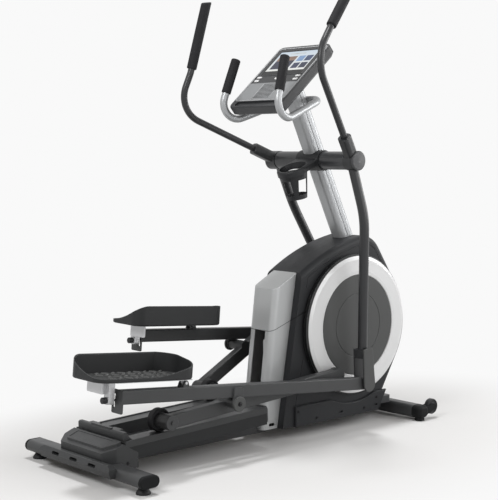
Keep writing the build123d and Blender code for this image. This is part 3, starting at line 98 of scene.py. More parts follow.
def finish(name, colour, roughness, metallic=0.0, grain_mm=0.8, grain_depth=0.05, mottle=0.06, coat=0.0,
           specular=0.5, edge_mm=1.2, worn=1.8, vary=0.12, other=None):
    """A made surface: its colour in slow clouds, edges rubbed lighter in patches, a grain, a rounded arris.

    other(tree, place) may give a second colour and the share that it takes of the surface."""
    made, tree = blank(name)
    place = add(tree, "ShaderNodeTexCoord").outputs["Object"]
    slow = add(tree, "ShaderNodeTexNoise", {"Vector": place, "Scale": per_metre(CLOUD_MM), "Detail": 4.0,
                                            "Roughness": 0.6}).outputs["Fac"]
    fine = add(tree, "ShaderNodeTexNoise", {"Vector": place, "Scale": per_metre(grain_mm),
                                            "Detail": 2.0}).outputs["Fac"]
    tint = add(tree, "ShaderNodeMix", {"Factor": slow, "A": shade(colour, 1 - mottle),
                                       "B": shade(colour, 1 + mottle)}, data_type="RGBA").outputs["Result"]
    if other:
        second, share = other(tree, place)
        tint = add(tree, "ShaderNodeMix", {"Factor": share, "A": tint, "B": linear(second)},
                   data_type="RGBA").outputs["Result"]
    arris = add(tree, "ShaderNodeBevel", {"Radius": edge_mm * MM}, samples=4).outputs["Normal"]
    flat = add(tree, "ShaderNodeNewGeometry").outputs["Normal"]
    turn = add(tree, "ShaderNodeVectorMath", {0: arris, 1: flat}, operation="DOT_PRODUCT").outputs["Value"]
    edge = add(tree, "ShaderNodeMapRange", {"Value": turn, "From Min": WEAR_BEGINS, "From Max": WEAR_FULL})
    patch = add(tree, "ShaderNodeTexNoise", {"Vector": place, "Scale": per_metre(PATCH_MM), "Detail": 3.0})
    rubbed = add(tree, "ShaderNodeMath", {0: edge.outputs["Result"], 1: patch.outputs["Fac"]},
                 operation="MULTIPLY").outputs[0]
    tint = add(tree, "ShaderNodeMix", {"Factor": rubbed, "A": tint, "B": shade(colour, worn)},
               data_type="RGBA").outputs["Result"]
    gloss = add(tree, "ShaderNodeMapRange", {"Value": slow, "From Min": CLOUD_LOW, "From Max": CLOUD_HIGH,
                                             "To Min": roughness * (1 - vary),
                                             "To Max": min(1.0, roughness * (1 + vary))}).outputs["Result"]
    bump = add(tree, "ShaderNodeBump", {"Height": fine, "Strength": GRAIN_STRENGTH,
                                        "Distance": grain_depth * MM, "Normal": arris}).outputs["Normal"]
    shader = add(tree, "ShaderNodeBsdfPrincipled", {"Base Color": tint, "Metallic": metallic,
                                                    "Roughness": gloss, "Coat Weight": coat,
                                                    "Specular IOR Level": specular, "Normal": bump})
    add(tree, "ShaderNodeOutputMaterial", {"Surface": shader.outputs["BSDF"]})
    return made


# Second colours

def from_middle(colour, start_mm, full_mm):
    """A second colour that sets in between two distances from the machine's middle plane."""
    def second(tree, place):
        across = add(tree, "ShaderNodeSeparateXYZ", {0: place}).outputs["Y"]
        away = add(tree, "ShaderNodeMath", {0: across}, operation="ABSOLUTE").outputs[0]
        share = add(tree, "ShaderNodeMapRange", {"Value": away, "From Min": start_mm * MM,
                                                 "From Max": full_mm * MM})
        return colour, share.outputs["Result"]
    return second


# Painted shadow: the crank cover's rim is painted near black where it turns in towards the housing
rim_painted_shadow = from_middle("#141516", 126.5, 125.5)
# The ramp's side covers are near black on their thicker lower half
lower_band = from_middle("#1F2021", 148.6, 149.4)
# How far below the panel's face the painted shade in the grille's slots begins, and where it is full
SLOT_BEGINS, SLOT_DARK = -0.1 * MM, -0.4 * MM
# The column's joint: a point on it, its slope, and where its line begins and is full
JOINT_AT, JOINT_DEG, JOINT_BEGINS, JOINT_FULL = (63 * MM, 0.0, 425 * MM), 19, 1.8 * MM, 0.9 * MM
# The housing's seam: how its plane faces on the left side, the plane's distance, and half the line's width
SEAM_FACING, SEAM_AT, SEAM_LINE = (-0.284, -0.437, 0.853), 316.7 * MM, 1.6 * MM
# The middle and half of the seam's run along the housing
SEAM_MIDDLE, SEAM_HALF = 200 * MM, 40 * MM


def on_panel(tree, place):
    """A point counted on the console's own panel."""
    turn = (0.0, math.radians(-CONSOLE_DEG), 0.0)
    spot = add(tree, "ShaderNodeMapping", {"Vector": place, "Location": CONSOLE_AT, "Rotation": turn},
               vector_type="TEXTURE")
    return add(tree, "ShaderNodeSeparateXYZ", {0: spot.outputs["Vector"]}).outputs


def grille_painted_shade(tree, place):
    """Painted shade in the grille's slots, drawn pale because slots so fine would shimmer. The grille's
    slots show speaker cloth, drawn paler than it is because slots so fine would shimmer.
    """
    out = on_panel(tree, place)["Z"]
    share = add(tree, "ShaderNodeMapRange", {"Value": out, "From Min": SLOT_BEGINS, "From Max": SLOT_DARK})
    return "#4C4D4F", share.outputs["Result"]


def column_joint(tree, place):
    """The open joint between the column's two mouldings, drawn wide enough to show."""
    turn = (0.0, math.radians(-JOINT_DEG), 0.0)
    spot = add(tree, "ShaderNodeMapping", {"Vector": place, "Location": JOINT_AT, "Rotation": turn},
               vector_type="TEXTURE")
    above = add(tree, "ShaderNodeSeparateXYZ", {0: spot.outputs["Vector"]}).outputs["Z"]
    off = add(tree, "ShaderNodeMath", {0: above}, operation="ABSOLUTE").outputs[0]
    share = add(tree, "ShaderNodeMapRange", {"Value": off, "From Min": JOINT_BEGINS, "From Max": JOINT_FULL})
    return "#3A3B3C", share.outputs["Result"]


def shroud_seam(tree, place):
    """The joint that goes on from the column's across the housing's side, drawn wide enough to show."""
    mirrored = add(tree, "ShaderNodeVectorMath", {0: place}, operation="ABSOLUTE").outputs["Vector"]
    height = add(tree, "ShaderNodeVectorMath", {0: mirrored, 1: SEAM_FACING}, operation="DOT_PRODUCT")
    line = add(tree, "ShaderNodeMath", {0: height.outputs["Value"], 1: SEAM_AT, 2: SEAM_LINE},
               operation="COMPARE")
    forward = add(tree, "ShaderNodeSeparateXYZ", {0: place}).outputs["X"]
    run = add(tree, "ShaderNodeMath", {0: forward, 1: SEAM_MIDDLE, 2: SEAM_HALF}, operation="COMPARE")
    share = add(tree, "ShaderNodeMath", {0: line.outputs[0], 1: run.outputs[0]}, operation="MULTIPLY")
    return "#060607", share.outputs[0]


# Materials

# The real grains of coats and mouldings are 0.05 to 0.3 mm, too fine to show, so they are drawn at 0.8 to 2 mm

# Powder coat on welded steel: an even satin skin with a slight orange peel, thin on the edges
charcoal_coat = finish("charcoal_powder_coat", "#3D3E3F", 0.42, grain_mm=1.6, grain_depth=0.05, specular=0.3)
black_coat = finish("black_powder_coat", "#252628", 0.36, grain_mm=1.6, grain_depth=0.02, specular=0.45)
bar_coat = finish("crossbar_powder_coat", "#343537", 0.32, grain_mm=1.6, grain_depth=0.02)
# Metallic paint under lacquer: bright and smooth, so that it shades from light to dark round a tube
silver_coat = finish("silver_metallic_paint", "#A6A8AA", 0.36, metallic=0.4, grain_mm=2.0, grain_depth=0.004,
                     mottle=0.015, worn=1.1, vary=0.03)
# ABS moulded in a spark-eroded tool: dull, with a fine pebble that softens reflections
shroud_abs = finish("shroud_moulded_abs", "#27282A", 0.5, grain_mm=1.0, grain_depth=0.04, specular=0.2,
                    other=shroud_seam)
disc_abs = finish("disc_satin_abs", "#444545", 0.5, grain_mm=1.0, grain_depth=0.04, specular=0.3)
cover_abs = finish("rear_cover_abs", "#353637", 0.44, grain_mm=1.0, grain_depth=0.04, specular=0.3)
black_abs = finish("black_moulded_abs", "#222325", 0.48, grain_mm=1.0, grain_depth=0.06, specular=0.3)
cap_abs = finish("cap_moulded_abs", "#161718", 0.6, grain_mm=1.0, grain_depth=0.08, specular=0.12)
ramp_abs = finish("ramp_cover_abs", "#3B3C3D", 0.5, grain_mm=1.0, grain_depth=0.05, specular=0.25,
                  other=lower_band)
console_abs = finish("console_moulded_abs", "#2D2E30", 0.4, grain_mm=1.0, grain_depth=0.05, specular=0.35)
# Coarse-grained ABS of the foot trays: dull walls whose rims are lightened by shoe scuffs and a painted
# highlight
tray_abs = finish("tray_grained_abs", "#272829", 0.5, grain_mm=1.4, grain_depth=0.1, specular=0.25, edge_mm=1.6,
                  worn=3.0)
# Metallic-painted mouldings: soft silver, with highlights along their corners
silver_abs = finish("silver_painted_abs", "#ADAFB0", 0.38, metallic=0.25, grain_mm=1.2, grain_depth=0.01,
                    mottle=0.02, worn=1.15, vary=0.04, other=column_joint)
# The grille's slots in the panel carry a painted shade
panel_abs = finish("silver_panel_abs", "#8C8E90", 0.4, metallic=0.3, specular=0.3, grain_mm=1.2,
                   grain_depth=0.01, mottle=0.02, worn=1.15, vary=0.05, other=grille_painted_shade)
# Pale lacquered moulding: nearly white, with a clean broad sheen, and a painted shadow on its outer rim
ring_abs = finish("pale_silver_abs", "#D2D3D4", 0.3, metallic=0.05, grain_mm=1.5, grain_depth=0.004,
                  mottle=0.008, coat=0.15, worn=1.05, vary=0.02, other=rim_painted_shadow)
# White key caps: smooth, with small crisp edges
white_abs = finish("white_key_abs", "#E3E4E5", 0.35, mottle=0.02, worn=1.0, edge_mm=0.4)
# Closed-cell foam: soft black with open pores, no shine
foam = finish("black_closed_cell_foam", "#242426", 0.7, grain_mm=1.6, grain_depth=0.3, specular=0.2,
              edge_mm=0.2, worn=1.2)
# Moulded rubber: matt, the tread's raised ribs lighter than the mat round them as a painted highlight
tread_rubber_painted_highlight = finish("tread_grey_rubber", "#555656", 0.6, grain_mm=1.2, grain_depth=0.1, specular=0.3,
                      edge_mm=0.5, worn=1.5)
mat_rubber = finish("mat_black_rubber", "#303131", 0.7, grain_mm=1.2, grain_depth=0.1, specular=0.2,
                    edge_mm=0.5, worn=1.3)
rubber = finish("black_moulded_rubber", "#1C1C1E", 0.62, grain_mm=1.2, grain_depth=0.1, specular=0.3, worn=1.4)
# Zinc plate on folded steel: bright, a little cloudy
zinc = finish("zinc_plated_steel", "#CBCCCE", 0.34, metallic=0.35, grain_depth=0.02, edge_mm=0.6, worn=1.15)
# Oiled black oxide on screws: near black with a dark metal glint
black_oxide = finish("black_oxide_steel", "#1E1E20", 0.36, metallic=0.6, grain_depth=0.02, edge_mm=0.3)
# Cast iron turned on its face: grey, with a coarse dull grain
iron = finish("machined_cast_iron", "#5A5B5D", 0.5, metallic=0.9, grain_mm=2.0, grain_depth=0.1)
# Plated plastic trim, brushed: an even pale line that doesn't sparkle
bright_trim = finish("bright_plated_trim", "#A8AAAC", 0.6, metallic=0.1, grain_depth=0.0, mottle=0.02,
                     specular=0.2, edge_mm=0.2, worn=1.0)


# Display

PICTURE_FOOT, PICTURE_TOP, PICTURE_HALF = 222 * MM, 343 * MM, 107 * MM
# Size of the clouds in a tile's picture, and its darkest and lightest shades
TILE_CLOUD_MM, TILE_DARK, TILE_LIGHT = 18, 0.45, 1.6
# Tiles of the lit picture: from left, to left, from foot, to foot (shares of the picture), colour
TILES = [(0.06, 0.55, 0.10, 0.74, "#2A2D42"), (0.06, 0.55, 0.52, 0.74, "#8C6F5E"),
         (0.60, 0.77, 0.46, 0.74, "#7C9BC4"), (0.80, 0.97, 0.46, 0.74, "#3A4A6E"),
         (0.60, 0.77, 0.10, 0.38, "#333A58"), (0.80, 0.97, 0.10, 0.38, "#2B3048"),
         (0.30, 0.70, 0.85, 0.91, "#C9CFD6")]


def display_window():
    """A lit display behind a black-edged glass: a pale page with plain picture tiles."""
    made, tree = blank("lit_display_window")
    place = add(tree, "ShaderNodeTexCoord").outputs["Object"]
    spot = on_panel(tree, place)
    share_x = add(tree, "ShaderNodeMapRange", {"Value": spot["Y"], "From Min": PICTURE_HALF,
                                               "From Max": -PICTURE_HALF}, clamp=False).outputs["Result"]
    share_y = add(tree, "ShaderNodeMapRange", {"Value": spot["X"], "From Min": PICTURE_FOOT,
                                               "From Max": PICTURE_TOP}, clamp=False).outputs["Result"]
    cloud = add(tree, "ShaderNodeTexNoise", {"Vector": place, "Scale": per_metre(TILE_CLOUD_MM),
                                             "Detail": 5.0}).outputs["Fac"]

    def within(x_a, x_b, y_a, y_b):
        across = add(tree, "ShaderNodeMath", {0: share_x, 1: (x_a + x_b) / 2, 2: (x_b - x_a) / 2},
                     operation="COMPARE")
        up = add(tree, "ShaderNodeMath", {0: share_y, 1: (y_a + y_b) / 2, 2: (y_b - y_a) / 2},
                 operation="COMPARE")
        return add(tree, "ShaderNodeMath", {0: across.outputs[0], 1: up.outputs[0]},
                   operation="MULTIPLY").outputs[0]

    page = add(tree, "ShaderNodeMix", {"Factor": share_y, "A": linear("#F1F2EE"), "B": linear("#CFDDEA")},
               data_type="RGBA").outputs["Result"]
    for x_a, x_b, y_a, y_b, colour in TILES:
        tile = add(tree, "ShaderNodeMix", {"Factor": cloud, "A": shade(colour, TILE_DARK),
                                           "B": shade(colour, TILE_LIGHT)}, data_type="RGBA").outputs["Result"]
        page = add(tree, "ShaderNodeMix", {"Factor": within(x_a, x_b, y_a, y_b), "A": page, "B": tile},
                   data_type="RGBA").outputs["Result"]
    glow = add(tree, "ShaderNodeMix", {"Factor": within(0.0, 1.0, 0.0, 1.0), "A": linear("#000000"), "B": page},
               data_type="RGBA").outputs["Result"]
    shader = add(tree, "ShaderNodeBsdfPrincipled", {"Base Color": linear("#08090B"), "Roughness": 0.12,
                                                    "Specular IOR Level": 0.25, "Emission Color": glow,
                                                    "Emission Strength": 0.85})
    add(tree, "ShaderNodeOutputMaterial", {"Surface": shader.outputs["BSDF"]})
    return made


# Finish of each CAD node, by the start of its name
FINISHES = {
    charcoal_coat: ["base_frame", "rear_stabilizer", "front_stabilizer", "ramp_frame", "roller_arm",
                    "pedal_arm", "roller_axle", "crank_shaft"],
    black_coat: ["swing_handle", "swing_leg"],
    bar_coat: ["pivot_axle"],
    silver_coat: ["mast", "pulse_handlebar"],
    shroud_abs: ["shroud", "side_covers"],
    cover_abs: ["ramp_end_stop", "ramp_rear_cover", "lift_handle"],
    disc_abs: ["crank_discs"],
    ramp_abs: ["ramp_side_covers"],
    console_abs: ["console_shell"],
    cap_abs: ["stabilizer_end_caps"],
    black_abs: ["transport_wheel", "bottle_holder", "pull_pin", "roller_guard", "drive_pulley"],
    tray_abs: ["pedal_tray"],
    silver_abs: ["rear_trim_lower", "rear_trim_upper"],
    panel_abs: ["console_face"],
    ring_abs: ["crank_rings"],
    white_abs: ["console_key"],
    rubber: ["rear_foot", "roller_wheel", "drive_belt"],
    zinc: ["pedal_bracket", "lift_motor"],
    iron: ["flywheel"],
    display_window(): ["screen"],
}


def dress(obj, made):
    """Give an object one material in place of those it has."""
    obj.data.materials.clear()
    obj.data.materials.append(made)


for made, names in FINISHES.items():
    for name, obj in nodes.items():
        if any(name == n or name.startswith(n + "_") for n in names):
            dress(obj, made)


# Pieces

def piece(name, mesh, made, body):
    """A finished mesh as a piece of the machine, riding on a body."""
    obj = bpy.data.objects.new(name, mesh)
    bpy.context.scene.collection.objects.link(obj)
    dress(obj, made)
    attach(obj, body)
    return obj


def skin(name, rings, closed=False, smooth=True):
    """A mesh over rings of points: a loop where it is closed, and otherwise with its two ends filled."""
    form = bmesh.new()
    rows = [[form.verts.new(point) for point in ring] for ring in rings]
    count = len(rows[0])
    for a, b in zip(rows, rows[1:] + rows[:1] if closed else rows[1:]):
        for k in range(count):
            n = (k + 1) % count
            form.faces.new((a[k], a[n], b[n], b[k]))
    if not closed:
        form.faces.new(rows[0])
        form.faces.new(rows[-1])
    for face in form.faces:
        face.smooth = smooth
    bmesh.ops.recalc_face_normals(form, faces=form.faces)
    mesh = bpy.data.meshes.new(name)
    form.to_mesh(mesh)
    form.free()
    return mesh


# Foam grips

# Faces round a grip or a cap, rings along a grip, and rings round its rolled ends
ROUND, GRIP_RINGS, END_RINGS = 40, 90, 6
# Rolled foot, domed top, fullness at half height, spacing of ribs, and length over which a slanted top rises
LIP, DOME, FULLNESS, RIB_PITCH, SLANT_RUN = 3.5 * MM, 7.0 * MM, 0.35 * MM, 9 * MM, 40 * MM
# How far the long grips' slanted tops rise, and the depth of the short grips' ribs, in millimetres
LONG_SLANT, SHORT_RIBS = 16, 0.25


def sleeve_of(points):
    """Foot, top and radius of a round sleeve, from its solid's own points."""
    cloud = np.unique(np.round(np.array(points), 5), axis=0)
    middle = cloud.mean(axis=0)
    axis = np.linalg.svd(cloud - middle, full_matrices=False)[2][0]
    axis = axis if axis[2] > 0 else -axis
    along = (cloud - middle) @ axis
    radius = np.linalg.norm(cloud - middle - np.outer(along, axis), axis=1).max()
    return Vector(middle + axis * along.min()), Vector(middle + axis * along.max()), float(radius)


def foam_sleeve(name, points, slant, ribs):
    """A foam grip: a rolled foot, a slightly full body and a domed top that rises towards the front."""
    foot, top, radius = sleeve_of(points)
    axis = (top - foot).normalized()
    length = (top - foot).length
    front = (Vector((1, 0, 0)) - axis * axis.x).normalized()
    side = axis.cross(front)
    quarter = [math.radians(90 * j / END_RINGS) for j in range(END_RINGS + 1)]
    profile = [(LIP * (1 - math.cos(a)), radius - LIP * (1 - math.sin(a)), 0.0) for a in quarter]
    for j in range(1, GRIP_RINGS + 1):
        t = LIP + (length - LIP - DOME) * j / GRIP_RINGS
        full = FULLNESS * math.sin(math.pi * j / GRIP_RINGS)
        rib = ribs * MM * (0.5 - 0.5 * math.cos(2 * math.pi * t / RIB_PITCH))
        rise = max(0.0, (t - length + SLANT_RUN) / SLANT_RUN)
        profile.append((t, radius + full - rib, rise))
    for a in quarter[1:]:
        profile.append((length - DOME + DOME * math.sin(a), radius - DOME * (1 - math.cos(a)), 1.0))
    rings = []
    for t, r, rise in profile:
        ring = []
        for k in range(ROUND):
            turn = 2 * math.pi * k / ROUND
            lift = slant * MM * rise * (1 + math.cos(turn)) / 2 * r / radius
            ring.append(foot + axis * (t + lift) + (front * math.cos(turn) + side * math.sin(turn)) * r)
        rings.append(ring)
    return skin(name, rings)


for name in SIDES:
    solid = f"swing_grip_{name}"
    mesh = foam_sleeve(f"foam_grip_{name}", [v.co for v in nodes[solid].data.vertices], LONG_SLANT, 0.0)
    grip = piece(f"foam_grip_{name}", mesh, foam, f"swing_arm_{name}")
    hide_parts(solid)

both_grips = [v.co for v in nodes["pulse_grips"].data.vertices]
for name, side in SIDES.items():
    mesh = foam_sleeve(f"pulse_sleeve_{name}", [p for p in both_grips if p.y * side > 0], 0, SHORT_RIBS)
    grip = piece(f"pulse_sleeve_{name}", mesh, foam, "frame")
    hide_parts("pulse_grips")


# Console trim

TRIM_FOOT, TRIM_TOP, TRIM_HALF, TRIM_CORNER = 42 * MM, 366 * MM, 134.5 * MM, 16 * MM
DIVIDER_RUN, DIVIDER_OUT = (48.5, 80, 114, 146), 47.5
# Half width and height of each bead, its faces round, and the steps round a corner of the trim
TRIM_BEAD, DIVIDER_BEAD, BEAD_ROUND, CORNER_STEPS = (3.0 * MM, 1.0 * MM), (1.4 * MM, 0.7 * MM), 10, 8


def bead(name, path, half, height, closed):
    """A low rounded bead along points that lie on the console's panel."""
    out = Vector((0, 0, 1))
    rings = []
    for k, point in enumerate(path):
        before = path[k - 1] if closed or k else path[k]
        after = path[(k + 1) % len(path)] if closed or k + 1 < len(path) else path[k]
        across = (Vector(after) - Vector(before)).normalized().cross(out)
        rings.append([CONSOLE @ (Vector(point) + across * math.cos(a) * half + out * math.sin(a) * height)
                      for a in (2 * math.pi * j / BEAD_ROUND for j in range(BEAD_ROUND))])
    return skin(name, rings, closed)


loop = []
for x, y, start in ((TRIM_TOP, TRIM_HALF, 0), (TRIM_FOOT, TRIM_HALF, 90), (TRIM_FOOT, -TRIM_HALF, 180),
                    (TRIM_TOP, -TRIM_HALF, 270)):
    middle_x = x - math.copysign(TRIM_CORNER, x - (TRIM_FOOT + TRIM_TOP) / 2)
    middle_y = y - math.copysign(TRIM_CORNER, y)
    for j in range(CORNER_STEPS + 1):
        a = math.radians(start + 90 * j / CORNER_STEPS)
        loop.append((middle_x + TRIM_CORNER * math.cos(a), middle_y + TRIM_CORNER * math.sin(a), 0.0))
piece("console_trim", bead("console_trim", loop, *TRIM_BEAD, True), bright_trim, "frame")
for name, side in SIDES.items():
    run = [(x * MM, side * DIVIDER_OUT * MM, 0.0) for x in DIVIDER_RUN]
    mesh = bead(f"panel_divider_{name}", run, *DIVIDER_BEAD, False)
    piece(f"panel_divider_{name}", mesh, bright_trim, "frame")


# What is set out on points

def points_tree(name, sizes):
    """A new tree whose inputs are points, named sizes and a material, and those inputs."""
    tree = bpy.data.node_groups.new(name, "GeometryNodeTree")
    sockets = [("Geometry", "Geometry")] + [(size, "Float") for size in sizes] + [("Material", "Material")]
    for socket, kind in sockets:
        tree.interface.new_socket(socket, in_out="INPUT", socket_type="NodeSocket" + kind)
    tree.interface.new_socket("Geometry", in_out="OUTPUT", socket_type="NodeSocketGeometry")
    return tree, add(tree, "NodeGroupInput").outputs


def set_out(tree, given, shape, rotation):
    """The end of a tree: its shape on every point, turned, made real and given its material."""
    placed = add(tree, "GeometryNodeInstanceOnPoints", {"Points": given["Geometry"], "Instance": shape,
                                                        "Rotation": rotation})
    real = add(tree, "GeometryNodeRealizeInstances", {"Geometry": placed.outputs["Instances"]})
    dressed = add(tree, "GeometryNodeSetMaterial", {"Geometry": real.outputs["Geometry"],
                                                    "Material": given["Material"]})
    add(tree, "NodeGroupOutput", {"Geometry": dressed.outputs["Geometry"]})


def grown(name, spots, attribute, kind, values, tree, sizes):
    """The plain mesh that a tree grows on points, each with its own value of one attribute."""
    mesh = bpy.data.meshes.new(name + "_places")
    mesh.from_pydata(spots, [], [])
    field = "vector" if kind == "FLOAT_VECTOR" else "value"
    mesh.attributes.new(attribute, kind, "POINT").data.foreach_set(field, values)
    carrier = bpy.data.objects.new(name + "_places", mesh)
    bpy.context.scene.collection.objects.link(carrier)
    modifier = carrier.modifiers.new(tree.name, "NODES")
    modifier.node_group = tree
    for item in tree.interface.items_tree:
        if item.in_out == "INPUT" and item.name in sizes:
            modifier[item.identifier] = sizes[item.name]
    ready = bpy.data.meshes.new_from_object(carrier.evaluated_get(bpy.context.evaluated_depsgraph_get()))
    ready.name = name
    bpy.data.objects.remove(carrier)
    return ready


# Screws

# Rise and narrowing of a screw head's crown, and its washer's width over the head and thickness
CROWN_RISE, CROWN_SCALE, WASHER_WIDE, WASHER_THICK = 0.9 * MM, 0.84, 1.45, 1.4 * MM
HEAD_SIDES, SOCKET_SIDES, WASHER_SIDES = 20, 6, 24
# Screws of the side covers (x, z), the rear cover (x, z) and the console's back (up it, out from its middle)
SIDE_COVER_SCREWS, REAR_COVER_SCREW = ((168, 104), (270, 66), (548, 66), (622, 100)), (-690, 62)
CONSOLE_SCREWS, CONSOLE_SCREWS_OUT = (48, 190, 332), 96
# Where the lines that find a surface start: beside the machine, and behind the console
BESIDE, BEHIND = 400, -300


def socket_screws():
    """A tree that sets a socket-head screw with its washer on every point, facing as the point does."""
    tree, given = points_tree("socket_screws", ("Head radius", "Head height", "Socket radius"))
    radius, height = given["Head radius"], given["Head height"]
    head = add(tree, "GeometryNodeMeshCylinder", {"Vertices": HEAD_SIDES, "Radius": radius, "Depth": height})
    crown = add(tree, "GeometryNodeExtrudeMesh", {"Mesh": head.outputs["Mesh"],
                                                  "Selection": head.outputs["Top"],
                                                  "Offset Scale": CROWN_RISE})
    crown = add(tree, "GeometryNodeScaleElements", {"Geometry": crown.outputs["Mesh"],
                                                    "Selection": crown.outputs["Top"], "Scale": CROWN_SCALE})
    key = add(tree, "GeometryNodeMeshCylinder", {"Vertices": SOCKET_SIDES, "Radius": given["Socket radius"],
                                                 "Depth": height})
    lifted = add(tree, "ShaderNodeCombineXYZ", {"Z": height})
    key = add(tree, "GeometryNodeTransform", {"Geometry": key.outputs["Mesh"],
                                              "Translation": lifted.outputs[0]})
    cut = add(tree, "GeometryNodeMeshBoolean", {"Mesh 1": crown.outputs["Geometry"],
                                                "Mesh 2": key.outputs["Geometry"]}, operation="DIFFERENCE")
    wide = add(tree, "ShaderNodeMath", {0: radius, 1: WASHER_WIDE}, operation="MULTIPLY")
    washer = add(tree, "GeometryNodeMeshCylinder", {"Vertices": WASHER_SIDES, "Radius": wide.outputs[0],
                                                    "Depth": WASHER_THICK})
    half = add(tree, "ShaderNodeMath", {0: height, 1: 0.5}, operation="MULTIPLY")
    up = add(tree, "ShaderNodeCombineXYZ", {"Z": half.outputs[0]})
    raised = add(tree, "GeometryNodeTransform", {"Geometry": cut.outputs["Mesh"],
                                                 "Translation": up.outputs[0]})
    whole = add(tree, "GeometryNodeJoinGeometry")
    tree.links.new(raised.outputs["Geometry"], whole.inputs["Geometry"])
    tree.links.new(washer.outputs["Mesh"], whole.inputs["Geometry"])
    facing = add(tree, "GeometryNodeInputNamedAttribute", {"Name": "facing"}, data_type="FLOAT_VECTOR")
    aligned = add(tree, "FunctionNodeAlignRotationToVector", {"Vector": facing.outputs["Attribute"]}, axis="Z")
    set_out(tree, given, whole.outputs["Geometry"], aligned.outputs["Rotation"])
    return tree


SCREW_TREE = socket_screws()
# Faces of the solids that screws are set on, made ready for the search once each
reach = {}


def surface(node, start, direction):
    """Where a straight line from a point in millimetres first meets a solid, and how the solid faces there."""
    if node not in reach:
        mesh = nodes[node].data
        reach[node] = BVHTree.FromPolygons([v.co for v in mesh.vertices], [p.vertices for p in mesh.polygons])
    spot, facing, _, _ = reach[node].ray_cast(Vector(start) * MM, Vector(direction).normalized())
    if spot is None:
        raise ValueError(f"no surface of {node} from {start}")
    return spot, facing if facing.dot(Vector(direction)) < 0 else -facing


def screws(name, body, spots, head=4.2, height=2.6, socket=2.1):
    """Socket screws on points of a surface, each with the way that it faces."""
    sizes = {"Head radius": head * MM, "Head height": height * MM, "Socket radius": socket * MM,
             "Material": black_oxide}
    facings = [c for _, facing in spots for c in facing]
    mesh = grown(name, [spot for spot, _ in spots], "facing", "FLOAT_VECTOR", facings, SCREW_TREE, sizes)
    piece(name, mesh, black_oxide, body)


frame_spots = []
for side in SIDES.values():
    inwards = (0, -side, 0)
    for x, z in SIDE_COVER_SCREWS:
        frame_spots.append(surface("side_covers", (x, side * BESIDE, z), inwards))
    x, z = REAR_COVER_SCREW
    frame_spots.append(surface("ramp_rear_cover", (x, side * BESIDE, z), inwards))
    for x in CONSOLE_SCREWS:
        behind = CONSOLE @ (Vector((x, side * CONSOLE_SCREWS_OUT, BEHIND)) * MM)
        frame_spots.append(surface("console_shell", behind / MM, CONSOLE.to_3x3() @ Vector((0, 0, 1))))
screws("frame_screws", "frame", frame_spots)


# Pivot caps

# Where the roller arm's hub carries the pedal arm, and the lug's outer face
PIVOTS, LUG_FACE = {"right": (-261.8, 218.2), "left": (123.5, 338.1)}, 239.8
# Radius and height of the cap from its foot over its rolled rim to the screw's seat
CAP_PROFILE = [(28, 0), (28, 7.6), (27.6, 8.8), (26.6, 9.6), (25.2, 9.9), (11, 9.9), (10, 9.4), (9.6, 8.4)]
for name, side in SIDES.items():
    x, z = PIVOTS[name]
    rings = [[Vector((x + r * math.cos(a), side * (LUG_FACE + out), z + r * math.sin(a))) * MM
              for a in (2 * math.pi * k / ROUND for k in range(ROUND))] for r, out in CAP_PROFILE]
    mesh = skin(f"pivot_cap_{name}", rings, smooth=False)
    piece(f"pivot_cap_{name}", mesh, disc_abs, f"pedal_arm_{name}")
    seat = Vector((x, side * (LUG_FACE + CAP_PROFILE[-1][1]), z)) * MM
    screws(f"pivot_screw_{name}", f"pedal_arm_{name}", [(seat, Vector((0, side, 0)))], head=5.6, height=3.2,
           socket=3.0)


# Tread ribs

def stood(x, z, deg):
    """The frame of a lever that stands at a point of the side view, turned nose up by an angle."""
    return Matrix.Translation((x * MM, 0, z * MM)) @ Matrix.Rotation(math.radians(-deg), 4, "Y")


# Hinge of each foot tray, and the turn of its floor
TRAYS = {"right": stood(-491.26, 322.55, -5.2346), "left": stood(-106.68, 440.79, -4.8116)}
# The ribs' first place from the hinge, outwards and up, and each rib's turn in degrees
TREAD_REAR, TREAD_OUT, TREAD_UP, TREAD_TURN = -302, 208, 21.9, 35
# Ribs along and across, their spacing both ways, and how far every other line stands forward
TREAD_ALONG, TREAD_ACROSS, TREAD_STEP, TREAD_LINE, TREAD_SHIFT = 9, 4, 34, 38, 17
RIB_SIZES = {"Length": 27.5 * MM, "Width": 8.4 * MM, "Height": 4.2 * MM, "Material": tread_rubber_painted_highlight}
# Radius of a rib's rounded end at its foot and at its crest, as shares of the width, and the end's sides
RIB_FOOT, RIB_CREST, RIB_SIDES = 0.5, 0.34, 10


def tread_ribs():
    """A tree that lays a chamfered rib, turned as its point says, on every point."""
    tree, given = points_tree("tread_ribs", ("Length", "Width", "Height"))
    foot = add(tree, "ShaderNodeMath", {0: given["Width"], 1: RIB_FOOT}, operation="MULTIPLY").outputs[0]
    crest = add(tree, "ShaderNodeMath", {0: given["Width"], 1: RIB_CREST}, operation="MULTIPLY").outputs[0]
    stud = add(tree, "GeometryNodeMeshCone", {"Vertices": RIB_SIDES, "Radius Top": crest, "Radius Bottom": foot,
                                              "Depth": given["Height"]})
    gap = add(tree, "ShaderNodeMath", {0: given["Length"], 1: given["Width"]}, operation="SUBTRACT").outputs[0]
    ends = add(tree, "GeometryNodeJoinGeometry")
    for share in (-0.5, 0.5):
        off = add(tree, "ShaderNodeMath", {0: gap, 1: share}, operation="MULTIPLY").outputs[0]
        shift = add(tree, "ShaderNodeCombineXYZ", {"X": off})
        end = add(tree, "GeometryNodeTransform", {"Geometry": stud.outputs["Mesh"],
                                                  "Translation": shift.outputs[0]})
        tree.links.new(end.outputs["Geometry"], ends.inputs["Geometry"])
    rib = add(tree, "GeometryNodeConvexHull", {"Geometry": ends.outputs["Geometry"]})
    turn = add(tree, "GeometryNodeInputNamedAttribute", {"Name": "turn"}, data_type="FLOAT")
    about = add(tree, "ShaderNodeCombineXYZ", {"Z": turn.outputs["Attribute"]})
    turned = add(tree, "FunctionNodeEulerToRotation", {"Euler": about.outputs[0]})
    set_out(tree, given, rib.outputs["Convex Hull"], turned.outputs["Rotation"])
    return tree


